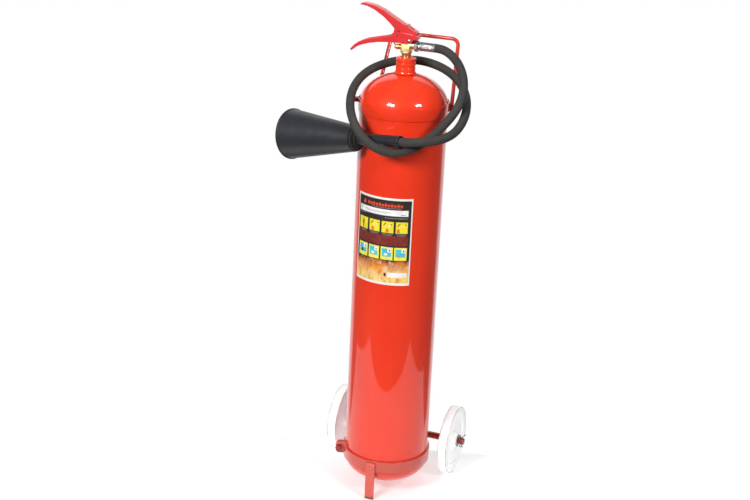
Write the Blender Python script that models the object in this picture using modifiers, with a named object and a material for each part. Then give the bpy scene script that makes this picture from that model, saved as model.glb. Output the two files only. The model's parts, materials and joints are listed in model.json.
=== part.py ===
"""Wheeled carbon dioxide fire extinguisher: cylinder, lever valve, hose, horn and trolley.

Built with its long axis upright and standing on z = 0.  While it is modelled the
cylinder's axis is x = y = 0, the axle runs along X, the front leg is at -Y and the
valve's outlet points to +X.  At the end everything hangs from one empty that is
moved so that the world origin is the middle of the footprint on the floor.
"""

import math

import bmesh
import bpy
import numpy as np
from mathutils import Matrix, Vector

MM = 0.001
GAP = 0.3  # clearance between touching pieces

# ---------------------------------------------------------------- driving sizes, mm
CYL_R = 90.0
CYL_WALL = 6.0
CYL_BOTTOM_Z = 16.0
CYL_BASE_Z = 64.0
CYL_SHOULDER_Z = 852.0
CYL_NECK_Z = 916.0
NECK_TOP_Z = 947.0
NECK_R = 14.0
NECK_BORE_R = 10.0
NECK_RING_R = 20.0

VALVE_Z = 972.2  # axis of the outlet
SHANK_R = 9.6
BLOCK_W = 13.4  # width of the valve's head between the lever plates
PIVOT = (8.3, 982.3)  # x and z of the lever's pivot
PIN = (-18.7, 990.7)  # x and z of the safety pin
PIVOT_R = 2.5
PIN_R = 1.6
LEVER_W = 18.4
HANDLE_W = 23.0
SHEET = 2.0  # thickness of the pressed levers
LEVER_TRAVEL_DEG = 16.0
STEM_R = 2.4
STEM_TOP_Z = 1006.9

HOSE_R = 8.7
FERRULE_R = 8.9
FERRULE_X = (28.0, 60.7)

GRIP_END = (44.0, -133.0, 810.0)  # open end of the horn's grip
HORN_YAW_DEG = 162.0  # heading of the horn, from +X towards +Y
HORN_DIP_DEG = 8.0
GRIP_R = 12.0
GRIP_BORE_R = 9.9
GRIP_LENGTH = 105.0
HORN_BASE_R = 26.0
HORN_MOUTH_R = 51.0
HORN_LENGTH = 170.0
HORN_WALL = 2.5

LABEL_Z = (493.5, 679.0)
LABEL_ANGLE_DEG = -92.0  # heading of the label's middle
LABEL_HALF_DEG = 40.0
LABEL_T = 0.3

SHOULDER_BAND_Z = (838.0, 862.0)
SHOULDER_BAND_T = 2.0
SHOULDER_LUG_Z = (853.4, 861.8)
BASE_BAND_Z = (64.0, 89.0)
BASE_BAND_T = 4.0
BASE_LUG_Z = (64.2, 88.8)
CLAMP_ANGLE_DEG = 200.0  # where both bands are split and bolted

ROD_R = 4.0
PULL_FEET_DEG = (17.0, 143.5)  # headings of the right and left feet
PULL_TOP = (72.0, 114.0, 972.0)
PULL_BEND_R = 17.0

LEG_W = 20.0
LEG_T = 5.0

WHEEL_R = 75.0
WHEEL_W = 20.0
AXLE_R = 7.5
AXLE_X = -13.5  # middle of the axle, which reaches out farther on the left
AXLE_Y = 106.5
AXLE_HALF = 159.5
WHEEL_REACH = 130.5  # from the axle's middle to a wheel's middle plane
COTTER_REACH = 152.5  # from the axle's middle to a split pin

# The hose's route, from the ferrule once round the neck and into the grip.
HOSE_ROUTE = [
    (61.0, 0.0, 972.2), (76.0, -1.0, 970.8), (93.0, -5.0, 964.5), (109.0, -11.0, 953.0),
    (121.5, -17.5, 937.5), (130.0, -25.0, 918.0), (132.8, -34.5, 896.0), (129.0, -46.5, 873.5),
    (119.0, -61.5, 852.0), (105.0, -78.0, 832.0), (87.5, -95.0, 812.5), (65.0, -113.0, 796.5),
    (38.0, -129.5, 787.2), (8.0, -141.0, 790.0), (-21.0, -143.5, 804.0), (-48.0, -131.0, 823.0),
    (-70.5, -107.0, 843.0), (-86.5, -75.5, 862.5), (-93.5, -43.0, 881.0), (-90.0, -12.0, 898.5),
    (-76.0, 16.0, 912.5), (-52.0, 38.0, 923.0), (-21.0, 53.0, 929.5), (12.0, 59.0, 930.5),
    (45.0, 57.0, 926.0), (76.0, 48.0, 917.0), (103.0, 33.0, 903.0), (124.0, 12.0, 884.5),
    (136.5, -15.0, 862.5), (139.5, -46.0, 843.5), (134.0, -80.0, 828.0), (118.0, -111.5, 820.0),
    (91.0, -132.0, 816.0), (67.0, -136.6, 813.2), (44.0, -133.0, 810.0), (24.2, -126.6, 807.1),
    (4.4, -120.1, 804.2),
]
HOSE_STEP = 22.0  # spacing of the tube's rings


# ---------------------------------------------------------------- scene and materials

def clear_scene():
    for item in list(bpy.data.objects):
        bpy.data.objects.remove(item, do_unlink=True)


def new_collection(name):
    collection = bpy.data.collections.new(name)
    bpy.context.scene.collection.children.link(collection)
    return collection


def material(name, colour, roughness, metallic=0.0):
    made = bpy.data.materials.new(name)
    made.use_nodes = True
    shader = made.node_tree.nodes["Principled BSDF"]
    shader.inputs["Base Color"].default_value = (*colour, 1.0)
    shader.inputs["Roughness"].default_value = roughness
    shader.inputs["Metallic"].default_value = metallic
    made.diffuse_color = (*colour, 1.0)
    return made


clear_scene()
PARTS = new_collection("wheeled_fire_extinguisher")
GUIDES = new_collection("cutters_and_guides")

RED = material("red_paint", (0.80, 0.045, 0.02), 0.3)
LEVER_RED = material("lever_red", (0.78, 0.04, 0.035), 0.35)
BRASS = material("brass", (0.78, 0.50, 0.18), 0.3, 1.0)
CHROME = material("chrome", (0.78, 0.78, 0.78), 0.15, 1.0)
STEEL = material("zinc_steel", (0.55, 0.55, 0.54), 0.35, 1.0)
HOSE_RUBBER = material("hose_rubber", (0.075, 0.072, 0.062), 0.75)
HORN_PLASTIC = material("horn_plastic", (0.045, 0.047, 0.052), 0.5)
SEAL_RUBBER = material("seal_rubber", (0.02, 0.02, 0.02), 0.7)
WHITE_PLASTIC = material("wheel_plastic", (0.82, 0.82, 0.80), 0.4)
WHITE_TYRE = material("wheel_tyre", (0.78, 0.78, 0.76), 0.6)
LABEL_PAPER = material("label_paper", (0.85, 0.83, 0.78), 0.4)
BUSH_PLASTIC = material("bush_plastic", (0.5, 0.5, 0.48), 0.5)

FRAME = bpy.data.objects.new("frame_origin", None)
GUIDES.objects.link(FRAME)


def add_empty(name, place, rotation=None):
    """An empty under the frame, at a place in mm, for pieces that share an axis."""
    empty = bpy.data.objects.new(name, None)
    empty.parent = FRAME
    empty.location = Vector(place) * MM
    if rotation is not None:
        empty.rotation_euler = rotation.to_euler()
    GUIDES.objects.link(empty)
    return empty


# ---------------------------------------------------------------- shape helpers

def finish(name, mesh, look, parent=None, smooth=True):
    """Wrap a mesh as a named piece under its parent empty."""
    piece = bpy.data.objects.new(name, mesh)
    piece.parent = parent or FRAME
    mesh.materials.append(look)
    if smooth:
        mesh.shade_smooth()
        mesh.set_sharp_from_angle(angle=math.radians(32))
    PARTS.objects.link(piece)
    return piece


def facing_out(points):
    """The profile ordered down its outer side, so that a Screw turns it the right way out."""
    area = sum(a[0] * b[1] - b[0] * a[1] for a, b in zip(points, points[1:] + points[:1]))
    return points[::-1] if area > 0 else points


def profile_mesh(name, points, closed):
    """A chain of edges in the XZ plane, in mm, ready for a Screw modifier."""
    points = facing_out(points)
    mesh = bpy.data.meshes.new(name)
    shape = bmesh.new()
    ring = [shape.verts.new((x * MM, 0.0, z * MM)) for x, z in points]
    for low, high in zip(ring, ring[1:]):
        shape.edges.new((low, high))
    if closed:
        shape.edges.new((ring[-1], ring[0]))
    shape.to_mesh(mesh)
    shape.free()
    return mesh


def turned(name, points, look, steps=32, parent=None, closed=False):
    """Spin a profile (radius, height) about the parent's Z axis.

    An open profile starts and ends on the axis; a closed one makes a ring.
    """
    piece = finish(name, profile_mesh(name, points, closed), look, parent, smooth=False)
    screw = piece.modifiers.new("turn", "SCREW")
    screw.axis = "Z"
    screw.steps = steps
    screw.render_steps = steps
    screw.use_merge_vertices = True
    screw.merge_threshold = 0.00001
    screw.use_smooth_shade = True
    return piece


def tube_profile(outer, inner, low, high):
    """A plain ring's closed profile."""
    return [(outer, high), (outer, low), (inner, low), (inner, high)]


def rod_profile(radius, low, high, chamfer=0.4):
    """A plain pin's open profile, from its top to its bottom, with small chamfers."""
    return [(0.0, high), (radius - chamfer, high), (radius, high - chamfer),
            (radius, low + chamfer), (radius - chamfer, low), (0.0, low)]


def arc(centre, radius, start_deg, end_deg, count):
    """Points along an arc, ends included."""
    angles = [math.radians(start_deg + (end_deg - start_deg) * i / (count - 1)) for i in range(count)]
    return [(centre[0] + radius * math.cos(a), centre[1] + radius * math.sin(a)) for a in angles]


def half_ellipse(width, height, base_z, start_deg, end_deg, count):
    """Points of a dome's outline, as (radius, height)."""
    angles = [math.radians(start_deg + (end_deg - start_deg) * i / (count - 1)) for i in range(count)]
    return [(abs(width * math.cos(a)), base_z + height * math.sin(a)) for a in angles]


def curve_to_mesh(curve_object, flat=False):
    """Turn a curve into a closed mesh: its caps are welded on, and flat ones made one face each."""
    bpy.context.view_layer.update()
    graph = bpy.context.evaluated_depsgraph_get()
    mesh = bpy.data.meshes.new_from_object(curve_object.evaluated_get(graph))
    shape = bmesh.new()
    shape.from_mesh(mesh)
    bmesh.ops.remove_doubles(shape, verts=shape.verts, dist=0.000005)
    if flat:
        bmesh.ops.dissolve_limit(shape, angle_limit=0.001, verts=shape.verts, edges=shape.edges)
    bmesh.ops.recalc_face_normals(shape, faces=shape.faces)
    shape.to_mesh(mesh)
    shape.free()
    bpy.data.objects.remove(curve_object, do_unlink=True)
    return mesh


def plate_mesh(name, outline, thickness):
    """A flat outline in its own XY plane, in mm, as thick as asked, centred on z = 0."""
    curve = bpy.data.curves.new(name, "CURVE")
    curve.dimensions = "2D"
    curve.fill_mode = "BOTH"
    curve.extrude = thickness * MM / 2
    spline = curve.splines.new("POLY")
    spline.points.add(len(outline) - 1)
    for point, (x, y) in zip(spline.points, outline):
        point.co = (x * MM, y * MM, 0.0, 1.0)
    spline.use_cyclic_u = True
    holder = bpy.data.objects.new(name, curve)
    GUIDES.objects.link(holder)
    return curve_to_mesh(holder, flat=True)


def wire_mesh(name, points, radius, resolution=2, cyclic=False):
    """A round wire or rod through a list of points, in mm."""
    curve = bpy.data.curves.new(name, "CURVE")
    curve.dimensions = "3D"
    curve.bevel_depth = radius * MM
    curve.bevel_resolution = resolution
    curve.use_fill_caps = True
    spline = curve.splines.new("POLY")
    spline.points.add(len(points) - 1)
    for point, place in zip(spline.points, points):
        point.co = (place[0] * MM, place[1] * MM, place[2] * MM, 1.0)
    spline.use_cyclic_u = cyclic
    holder = bpy.data.objects.new(name, curve)
    GUIDES.objects.link(holder)
    return curve_to_mesh(holder)


def box_mesh(name, low, high):
    """A box between two corners, in mm."""
    mesh = bpy.data.meshes.new(name)
    shape = bmesh.new()
    bmesh.ops.create_cube(shape, size=1.0)
    size = [(h - l) * MM for l, h in zip(low, high)]
    middle = [(h + l) * MM / 2 for l, h in zip(low, high)]
    bmesh.ops.scale(shape, vec=size, verts=shape.verts)
    bmesh.ops.translate(shape, vec=middle, verts=shape.verts)
    shape.to_mesh(mesh)
    shape.free()
    return mesh


def cylinder_mesh(name, radius, low, high, axis="Z", centre=(0.0, 0.0), segments=24, spin_deg=0.0):
    """A cylinder along one axis between two stations, in mm; centre is the other two."""
    mesh = bpy.data.meshes.new(name)
    shape = bmesh.new()
    bmesh.ops.create_cone(shape, cap_ends=True, segments=segments, radius1=radius * MM,
                          radius2=radius * MM, depth=(high - low) * MM)
    middle = (high + low) / 2
    spin = Matrix.Rotation(math.radians(spin_deg), 4, "Z")
    if axis == "X":
        turn = Matrix.Rotation(math.pi / 2, 4, "Y")
        place = (middle, centre[0], centre[1])
    elif axis == "Y":
        turn = Matrix.Rotation(math.pi / 2, 4, "X")
        place = (centre[0], middle, centre[1])
    else:
        turn = Matrix.Identity(4)
        place = (centre[0], centre[1], middle)
    move = Matrix.Translation(Vector(place) * MM) @ turn @ spin
    bmesh.ops.transform(shape, matrix=move, verts=shape.verts)
    shape.to_mesh(mesh)
    shape.free()
    return mesh


def guide(name, mesh, parent=None):
    """A hidden helper that cuts or joins a piece."""
    helper = bpy.data.objects.new(name, mesh)
    helper.parent = parent or FRAME
    helper.hide_render = True
    helper.display_type = "WIRE"
    GUIDES.objects.link(helper)
    return helper


def boolean(piece, helper, operation):
    modifier = piece.modifiers.new(operation.lower(), "BOOLEAN")
    modifier.operation = operation
    modifier.solver = "EXACT"
    modifier.object = helper


def cut(piece, mesh, parent=None):
    boolean(piece, guide(piece.name + "_cut", mesh, parent), "DIFFERENCE")


def join(piece, mesh, parent=None):
    boolean(piece, guide(piece.name + "_join", mesh, parent), "UNION")


def bevel(piece, width, segments=1, angle_deg=40.0):
    modifier = piece.modifiers.new("round", "BEVEL")
    modifier.width = width * MM
    modifier.segments = segments
    modifier.limit_method = "ANGLE"
    modifier.angle_limit = math.radians(angle_deg)


def smooth_curve(points, step):
    """Even points along the natural cubic spline through the given ones."""
    knots = np.array(points, dtype=float)
    chord = np.concatenate([[0.0], np.cumsum(np.linalg.norm(np.diff(knots, axis=0), axis=1))])
    count = len(knots)
    gap = np.diff(chord)
    system = np.zeros((count, count))
    right = np.zeros((count, 3))
    system[0, 0] = system[-1, -1] = 1.0
    for i in range(1, count - 1):
        system[i, i - 1:i + 2] = gap[i - 1], 2 * (gap[i - 1] + gap[i]), gap[i]
        right[i] = 6 * ((knots[i + 1] - knots[i]) / gap[i] - (knots[i] - knots[i - 1]) / gap[i - 1])
    bend = np.linalg.solve(system, right)

    def at(station):
        i = min(int(np.searchsorted(chord, station, side="right")) - 1, count - 2)
        before = station - chord[i]
        after = chord[i + 1] - station
        width = gap[i]
        return (bend[i] * after ** 3 + bend[i + 1] * before ** 3) / (6 * width) \
            + (knots[i] / width - bend[i] * width / 6) * after \
            + (knots[i + 1] / width - bend[i + 1] * width / 6) * before

    dense = np.array([at(s) for s in np.linspace(0.0, chord[-1], 1200)])
    along = np.concatenate([[0.0], np.cumsum(np.linalg.norm(np.diff(dense, axis=0), axis=1))])
    stations = np.linspace(0.0, along[-1], int(round(along[-1] / step)) + 1)
    return [tuple(float(np.interp(s, along, dense[:, k])) for k in range(3)) for s in stations]


def rounded_path(corners, radius, steps=6):
    """A path of straight runs whose inner corners are rounded by arcs."""
    path = [Vector(corners[0])]
    for before, here, after in zip(corners, corners[1:], corners[2:]):
        here = Vector(here)
        back = (Vector(before) - here).normalized()
        ahead = (Vector(after) - here).normalized()
        half = back.angle(ahead) / 2
        reach = radius / math.tan(half)
        centre = here + (back + ahead).normalized() * (radius / math.sin(half))
        start = (here + back * reach - centre).normalized()
        end = (here + ahead * reach - centre).normalized()
        for i in range(steps + 1):
            path.append(centre + start.slerp(end, i / steps) * radius)
    path.append(Vector(corners[-1]))
    return path


def upright_plate(name, outline, thickness, look):
    """A plate whose outline is given in XZ and whose thickness runs along Y."""
    stand = Matrix.Rotation(math.pi / 2, 4, "X")
    mesh = plate_mesh(name, outline, thickness)
    mesh.transform(stand)
    if look is None:
        return mesh
    return finish(name, mesh, look)


# ---------------------------------------------------------------- cylinder

def build_cylinder():
    """The pressure cylinder, open at its neck, with its neck ring and dip tube."""
    inner_r = CYL_R - CYL_WALL
    top_h = CYL_NECK_Z - CYL_SHOULDER_Z
    base_h = CYL_BASE_Z - CYL_BOTTOM_Z
    neck_deg = math.degrees(math.acos(NECK_R / CYL_R))
    bore_deg = math.degrees(math.acos(NECK_BORE_R / inner_r))
    inside = half_ellipse(inner_r, base_h - CYL_WALL, CYL_BASE_Z, -90, 0, 6)
    inside += half_ellipse(inner_r, top_h - CYL_WALL, CYL_SHOULDER_Z, 0, bore_deg, 6)
    outside = half_ellipse(CYL_R, top_h, CYL_SHOULDER_Z, neck_deg, 0, 9)
    outside += half_ellipse(CYL_R, base_h, CYL_BASE_Z, 0, -90, 7)
    profile = inside + [(NECK_BORE_R, NECK_TOP_Z), (NECK_R, NECK_TOP_Z)] + outside
    turned("cylinder_shell", profile, RED, steps=48)

    low = CYL_SHOULDER_Z + top_h * math.sqrt(1 - (NECK_RING_R / CYL_R) ** 2) + 1.2
    groove_r = NECK_RING_R - 0.6
    grooves = [(NECK_RING_R - 1.2, NECK_TOP_Z), (NECK_RING_R, NECK_TOP_Z - 1.0),
               (NECK_RING_R, NECK_TOP_Z - 6.5), (groove_r, NECK_TOP_Z - 7.2),
               (groove_r, NECK_TOP_Z - 9.8), (NECK_RING_R, NECK_TOP_Z - 10.5),
               (NECK_RING_R, NECK_TOP_Z - 15.0), (groove_r, NECK_TOP_Z - 15.7),
               (groove_r, NECK_TOP_Z - 18.3), (NECK_RING_R, NECK_TOP_Z - 19.0),
               (NECK_RING_R, low + 4.5), (NECK_RING_R + 0.8, low + 2.2), (NECK_RING_R + 3.0, low),
               (NECK_R + GAP, low + 0.8), (NECK_R + GAP, NECK_TOP_Z)]
    turned("neck_ring", grooves, RED, steps=28, closed=True)

    turned("dip_tube", tube_profile(5.0, 3.8, CYL_BOTTOM_Z + 14.0, 932.0), STEEL, steps=16, closed=True)


def build_label():
    """The instruction label, a thin curved sheet on the front of the cylinder."""
    inner = CYL_R + GAP
    section = tube_profile(inner + LABEL_T, inner, *LABEL_Z)
    label = turned("front_label", section, LABEL_PAPER, 64, closed=True)
    reach = 2 * CYL_R
    wedge = [(0.0, 0.0)]
    wedge += arc((0.0, 0.0), reach, LABEL_ANGLE_DEG - LABEL_HALF_DEG, LABEL_ANGLE_DEG + LABEL_HALF_DEG, 3)
    sector = plate_mesh("label_sector", wedge, LABEL_Z[1] - LABEL_Z[0] + 10.0)
    sector.transform(Matrix.Translation((0.0, 0.0, (LABEL_Z[0] + LABEL_Z[1]) / 2 * MM)))
    boolean(label, guide("label_sector", sector), "INTERSECT")


# ---------------------------------------------------------------- valve

CHAMBER_R = 6.4
SEAT_Z = 962.0
RETAINER_Z = (934.0, 940.0)
PLUG_Z = VALVE_Z - 5.0  # axis of the safety plug
OUTLET_END_X = 17.0


def build_valve_body():
    """Brass body: shank, square block, outlet and safety branches, drilled through."""
    shank = [(0.0, 959.0), (11.0, 959.0), (11.2, 956.6), (SHANK_R, 955.0), (SHANK_R, 932.6),
             (SHANK_R - 0.6, 932.0), (0.0, 932.0)]
    body = turned("valve_body", shank, BRASS, steps=24)
    half = BLOCK_W / 2
    join(body, box_mesh("valve_block", (-10.2, -half, 957.0), (10.6, half, 989.0)))
    join(body, box_mesh("valve_cheeks", (-8.6, -9.2, 958.0), (9.0, 9.2, 973.0)))
    join(body, cylinder_mesh("outlet_branch", 7.4, 4.0, OUTLET_END_X, "X", (0.0, VALVE_Z), 28))
    join(body, cylinder_mesh("plug_branch", 5.6, -16.0, -4.0, "X", (0.0, PLUG_Z), 24))
    cut(body, cylinder_mesh("chamber", CHAMBER_R, 931.0, SEAT_Z, segments=24))
    cut(body, cylinder_mesh("throat", 4.2, SEAT_Z - 1.0, 979.0, segments=20))
    cut(body, cylinder_mesh("gland_bore", 5.2, 978.0, 990.0, segments=20))
    cut(body, cylinder_mesh("outlet_bore", 3.6, 3.0, OUTLET_END_X + 1.0, "X", (0.0, VALVE_Z), 16))
    cut(body, cylinder_mesh("plug_bore", 3.0, -17.0, -5.4, "X", (0.0, PLUG_Z), 16))
    cut(body, cylinder_mesh("safety_drilling", 1.2, -9.0, -2.0, "X", (0.0, VALVE_Z - 12.4), 12))
    cut(body, cylinder_mesh("pivot_bore", PIVOT_R + GAP, -15.0, 15.0, "Y", PIVOT, 20))


def build_valve_inside():
    """Everything in the valve's bore: stem, seal, spring, retainer and gland."""
    stem = add_empty("stem_axis", (0.0, 0.0, SEAT_Z))
    top = STEM_TOP_Z - SEAT_Z
    profile = [(0.0, top), (STEM_R - 0.6, top), (STEM_R, top - 0.6),
               (STEM_R, -1.9), (5.4, -2.1), (5.4, -4.6), (2.2, -4.9), (2.2, -8.0), (0.0, -8.0)]
    turned("valve_stem", profile, STEEL, steps=20, parent=stem)
    turned("poppet_seal", tube_profile(5.2, STEM_R + GAP, -1.7, -GAP), SEAL_RUBBER, 20, stem, True)

    low = RETAINER_Z[1] + GAP + 0.8
    high = SEAT_Z - 4.9 - GAP - 0.8
    turns = 4
    per_turn = 12
    coil = []
    for i in range(turns * per_turn + 1):
        angle = 2 * math.pi * i / per_turn
        height = low + (high - low) * i / (turns * per_turn)
        coil.append((4.6 * math.cos(angle), 4.6 * math.sin(angle), height))
    finish("stem_spring", wire_mesh("stem_spring", coil, 0.7, 1), STEEL)

    turned("spring_retainer", tube_profile(CHAMBER_R - GAP, 3.0, *RETAINER_Z), BRASS, 24, closed=True)
    turned("gland_packing", tube_profile(4.9, STEM_R + GAP, 979.3, 983.0), SEAL_RUBBER, 20, closed=True)
    hexagon = cylinder_mesh("gland_nut", 6.6, 989.3, 994.5, segments=6)
    nut = finish("gland_nut", hexagon, BRASS, smooth=False)
    join(nut, cylinder_mesh("gland_thread", 4.9, 983.3, 990.0, segments=20))
    cut(nut, cylinder_mesh("gland_hole", STEM_R + GAP, 980.0, 996.0, segments=20))


def build_safety_plug():
    """The burst disc and the hollow plug that holds it, on the side away from the outlet."""
    axis = add_empty("safety_plug_axis", (0.0, 0.0, PLUG_Z), Matrix.Rotation(-math.pi / 2, 4, "Y"))
    turned("burst_disc", [(0.0, 6.2), (2.7, 6.2), (2.7, 5.7), (0.0, 5.7)], CHROME, 16, axis)
    hexagon = cylinder_mesh("safety_plug", 6.0, 16.3, 21.5, segments=6)
    plug = finish("safety_plug", hexagon, BRASS, axis, smooth=False)
    join(plug, cylinder_mesh("plug_collar", 4.2, 21.0, 24.5, segments=20), axis)
    join(plug, cylinder_mesh("plug_thread", 2.7, 6.5, 17.0, segments=16), axis)
    cut(plug, cylinder_mesh("plug_hole", 1.2, 6.0, 20.0, segments=12), axis)
    cut(plug, cylinder_mesh("plug_vent", 0.9, -8.0, 8.0, "X", (0.0, 18.9), 10), axis)


# ---------------------------------------------------------------- levers

def lever_outline(grow):
    """Side outline of the operating lever about its pivot, in XZ; grow opens it for a cutter."""
    top = [(-107.5, 61.9), (-104.5, 65.4), (-97.0, 66.0), (-76.0, 62.2), (-57.0, 54.6), (-37.6, 43.8),
           (-18.4, 33.6), (0.0, 24.6), (13.2, 17.6)]
    if grow:
        below = [(11.0, 16.4), (11.0, -30.0), (-110.0, -30.0)]
        return [(x - 0.9, z - 2.1) for x, z in top[1:-1]] + below
    under = [(12.6, 4.0), (8.2, 1.0), (6.6, -3.0), (0.0, -4.4), (-8.0, -3.2), (-22.5, 3.3), (-32.0, 6.2),
             (-34.5, 12.0), (-33.0, 21.5), (-42.0, 30.5), (-57.0, 42.6), (-76.0, 54.2), (-92.0, 60.2),
             (-103.0, 61.8)]
    return top + under


def at_pivot(points):
    return [(PIVOT[0] + x, PIVOT[1] + z) for x, z in points]


def channel(name, outline, hollow, width, look):
    """A pressed channel: a solid outline, hollowed between two side plates."""
    piece = upright_plate(name, outline, width, look)
    cut(piece, upright_plate(name + "_hollow", hollow, width - 2 * SHEET, None))
    return piece


def build_operating_lever():
    """The upper lever, which turns on the pivot pin and pushes the stem down."""
    lever = channel("operating_lever", at_pivot(lever_outline(False)), at_pivot(lever_outline(True)),
                    LEVER_W, LEVER_RED)
    reach = LEVER_W / 2 - 0.5
    join(lever, cylinder_mesh("lever_cam", 3.2, -reach, reach, "Y", (0.0, STEM_TOP_Z + 3.5), 20))
    cut(lever, pin_slot_mesh())
    cut(lever, cylinder_mesh("lever_bore", PIVOT_R + GAP, -15.0, 15.0, "Y", PIVOT, 20))
    cut(lever, box_mesh("lever_window", (PIVOT[0] - 4.0, -3.2, 990.0), (PIVOT[0] + 6.0, 3.2, 1020.0)))


def pin_slot_mesh():
    """A curved slot round the pivot, so that the pin stays clear while the lever turns."""
    reach = (PIN[0] - PIVOT[0], PIN[1] - PIVOT[1])
    radius = math.hypot(*reach)
    start = math.degrees(math.atan2(reach[1], reach[0]))
    half = PIN_R + 0.5
    end = start - LEVER_TRAVEL_DEG - 1.0
    outline = arc(PIVOT, radius + half, start, end, 9)
    tip = [PIVOT[0] + radius * math.cos(math.radians(end)), PIVOT[1] + radius * math.sin(math.radians(end))]
    outline += arc(tip, half, end, end - 180.0, 7)[1:-1]
    outline += arc(PIVOT, radius - half, end, start, 9)
    outline += arc(PIN, half, start + 180.0, start, 7)[1:-1]
    return upright_plate("pin_slot", outline, 40.0, None)


def handle_outline(grow):
    """Side outline of the fixed carrying handle about the pivot; grow opens it for a cutter."""
    under = [(-121.5, -31.5), (-111.5, -23.0), (-101.0, -18.0), (-85.0, -12.8), (-66.0, -8.8),
             (-47.0, -6.9), (-24.0, -5.9)]
    if grow:
        passage = [(-20.3, -3.7), (-20.3, -14.0), (14.0, -14.0), (14.0, 40.0), (-125.0, 40.0)]
        return [(x, z + 2.1) for x, z in under[1:]] + passage
    rear = [(5.0, -4.6), (8.0, 2.8), (16.0, 2.8)]
    top = [(16.0, 10.0), (12.0, 12.5), (-6.0, 13.5), (-24.0, 16.0), (-32.0, 14.0), (-38.0, 7.8),
           (-57.0, 2.4), (-76.0, -2.0), (-94.0, -6.6), (-107.0, -12.2), (-116.0, -19.0), (-124.0, -28.2),
           (-124.5, -30.5)]
    return under + rear + top


def build_carrying_handle():
    """The fixed lower handle, a channel that straddles the valve and carries both pins."""
    handle = channel("carrying_handle", at_pivot(handle_outline(False)), at_pivot(handle_outline(True)),
                     HANDLE_W, LEVER_RED)
    cut(handle, cylinder_mesh("handle_pivot_bore", PIVOT_R + GAP, -15.0, 15.0, "Y", PIVOT, 20))
    cut(handle, cylinder_mesh("handle_pin_bore", PIN_R + GAP, -15.0, 15.0, "Y", PIN, 16))


def headed_pin(name, radius, head_r, reach, place, look):
    """A riveted pin along Y with a domed head on each end."""
    axis = add_empty(name + "_axis", (place[0], 0.0, place[1]), Matrix.Rotation(-math.pi / 2, 4, "X"))
    profile = [(0.0, reach + 1.5), (head_r * 0.6, reach + 1.3), (head_r, reach + GAP),
               (radius, reach + GAP), (radius, -reach - GAP), (head_r, -reach - GAP),
               (head_r * 0.6, -reach - 1.3), (0.0, -reach - 1.5)]
    turned(name, profile, look, 20, axis)


def build_pins():
    """The pivot rivet, and the safety pin with its pull ring on the far side."""
    side = HANDLE_W / 2
    headed_pin("lever_pivot_pin", PIVOT_R, 4.0, side, PIVOT, STEEL)

    axis = add_empty("safety_pin_axis", (PIN[0], 0.0, PIN[1]), Matrix.Rotation(-math.pi / 2, 4, "X"))
    profile = [(0.0, side + 11.0), (2.4, side + 10.4), (2.8, side + 9.0), (2.8, side + 1.6),
               (3.4, side + 1.2), (3.4, side + GAP), (PIN_R, side + GAP), (PIN_R, -side - 2.2),
               (PIN_R - 0.9, -side - 3.4), (0.0, -side - 3.4)]
    pin = turned("safety_pin", profile, STEEL, 16, axis)
    eye_y = side + 5.6
    cut(pin, cylinder_mesh("pin_eye", 1.6, -5.0, 5.0, "X", (0.0, eye_y), 14), axis)

    ring_r = 15.0
    hang = add_empty("pin_ring_axis", (PIN[0], eye_y, PIN[1]))
    loop = []
    for i in range(28):
        angle = 2 * math.pi * i / 28
        loop.append((ring_r * math.sin(angle), 0.0, -ring_r + ring_r * math.cos(angle)))
    finish("safety_pin_ring", wire_mesh("safety_pin_ring", loop, 1.0, 2, cyclic=True), STEEL, hang)


# ---------------------------------------------------------------- hose and horn

def build_outlet():
    """Chromed union nut, hose tail and crimped ferrule, all along +X."""
    axis = add_empty("outlet_axis", (0.0, 0.0, VALVE_Z), Matrix.Rotation(math.pi / 2, 4, "Y"))
    hexagon = cylinder_mesh("union_nut", 11.6, 17.6, 24.6, segments=6, spin_deg=30.0)
    nut = finish("union_nut", hexagon, CHROME, axis, smooth=False)
    cut(nut, cylinder_mesh("nut_bore", 6.2, 17.0, 26.0, segments=24), axis)
    turned("union_washer", tube_profile(5.9, 3.0, 17.7, 19.0), SEAL_RUBBER, 20, axis, True)
    tail = [(5.9, 19.4), (5.9, 27.4), (3.8, 27.8), (3.8, 52.0), (2.6, 52.0), (2.6, 19.4)]
    turned("hose_tail", tail, CHROME, 16, axis, True)
    start, end = FERRULE_X
    body = [(4.1, start), (4.1, end), (FERRULE_R - 0.5, end), (FERRULE_R, end - 0.6),
            (FERRULE_R, end - 4.0), (FERRULE_R - 0.5, end - 5.0), (FERRULE_R - 0.5, start + 6.0),
            (FERRULE_R + 0.3, start + 5.0), (FERRULE_R + 0.3, start + 0.8), (FERRULE_R - 0.6, start)]
    turned("hose_ferrule", body, CHROME, 24, axis, True)


def build_hose():
    """The discharge hose as one tube from the ferrule's face to its end in the grip."""
    points = smooth_curve(HOSE_ROUTE, HOSE_STEP)
    start = HOSE_ROUTE[0]
    points.insert(1, (start[0] + 4.0, start[1], start[2]))
    finish("discharge_hose", wire_mesh("discharge_hose", points, HOSE_R, 2), HOSE_RUBBER)


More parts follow.
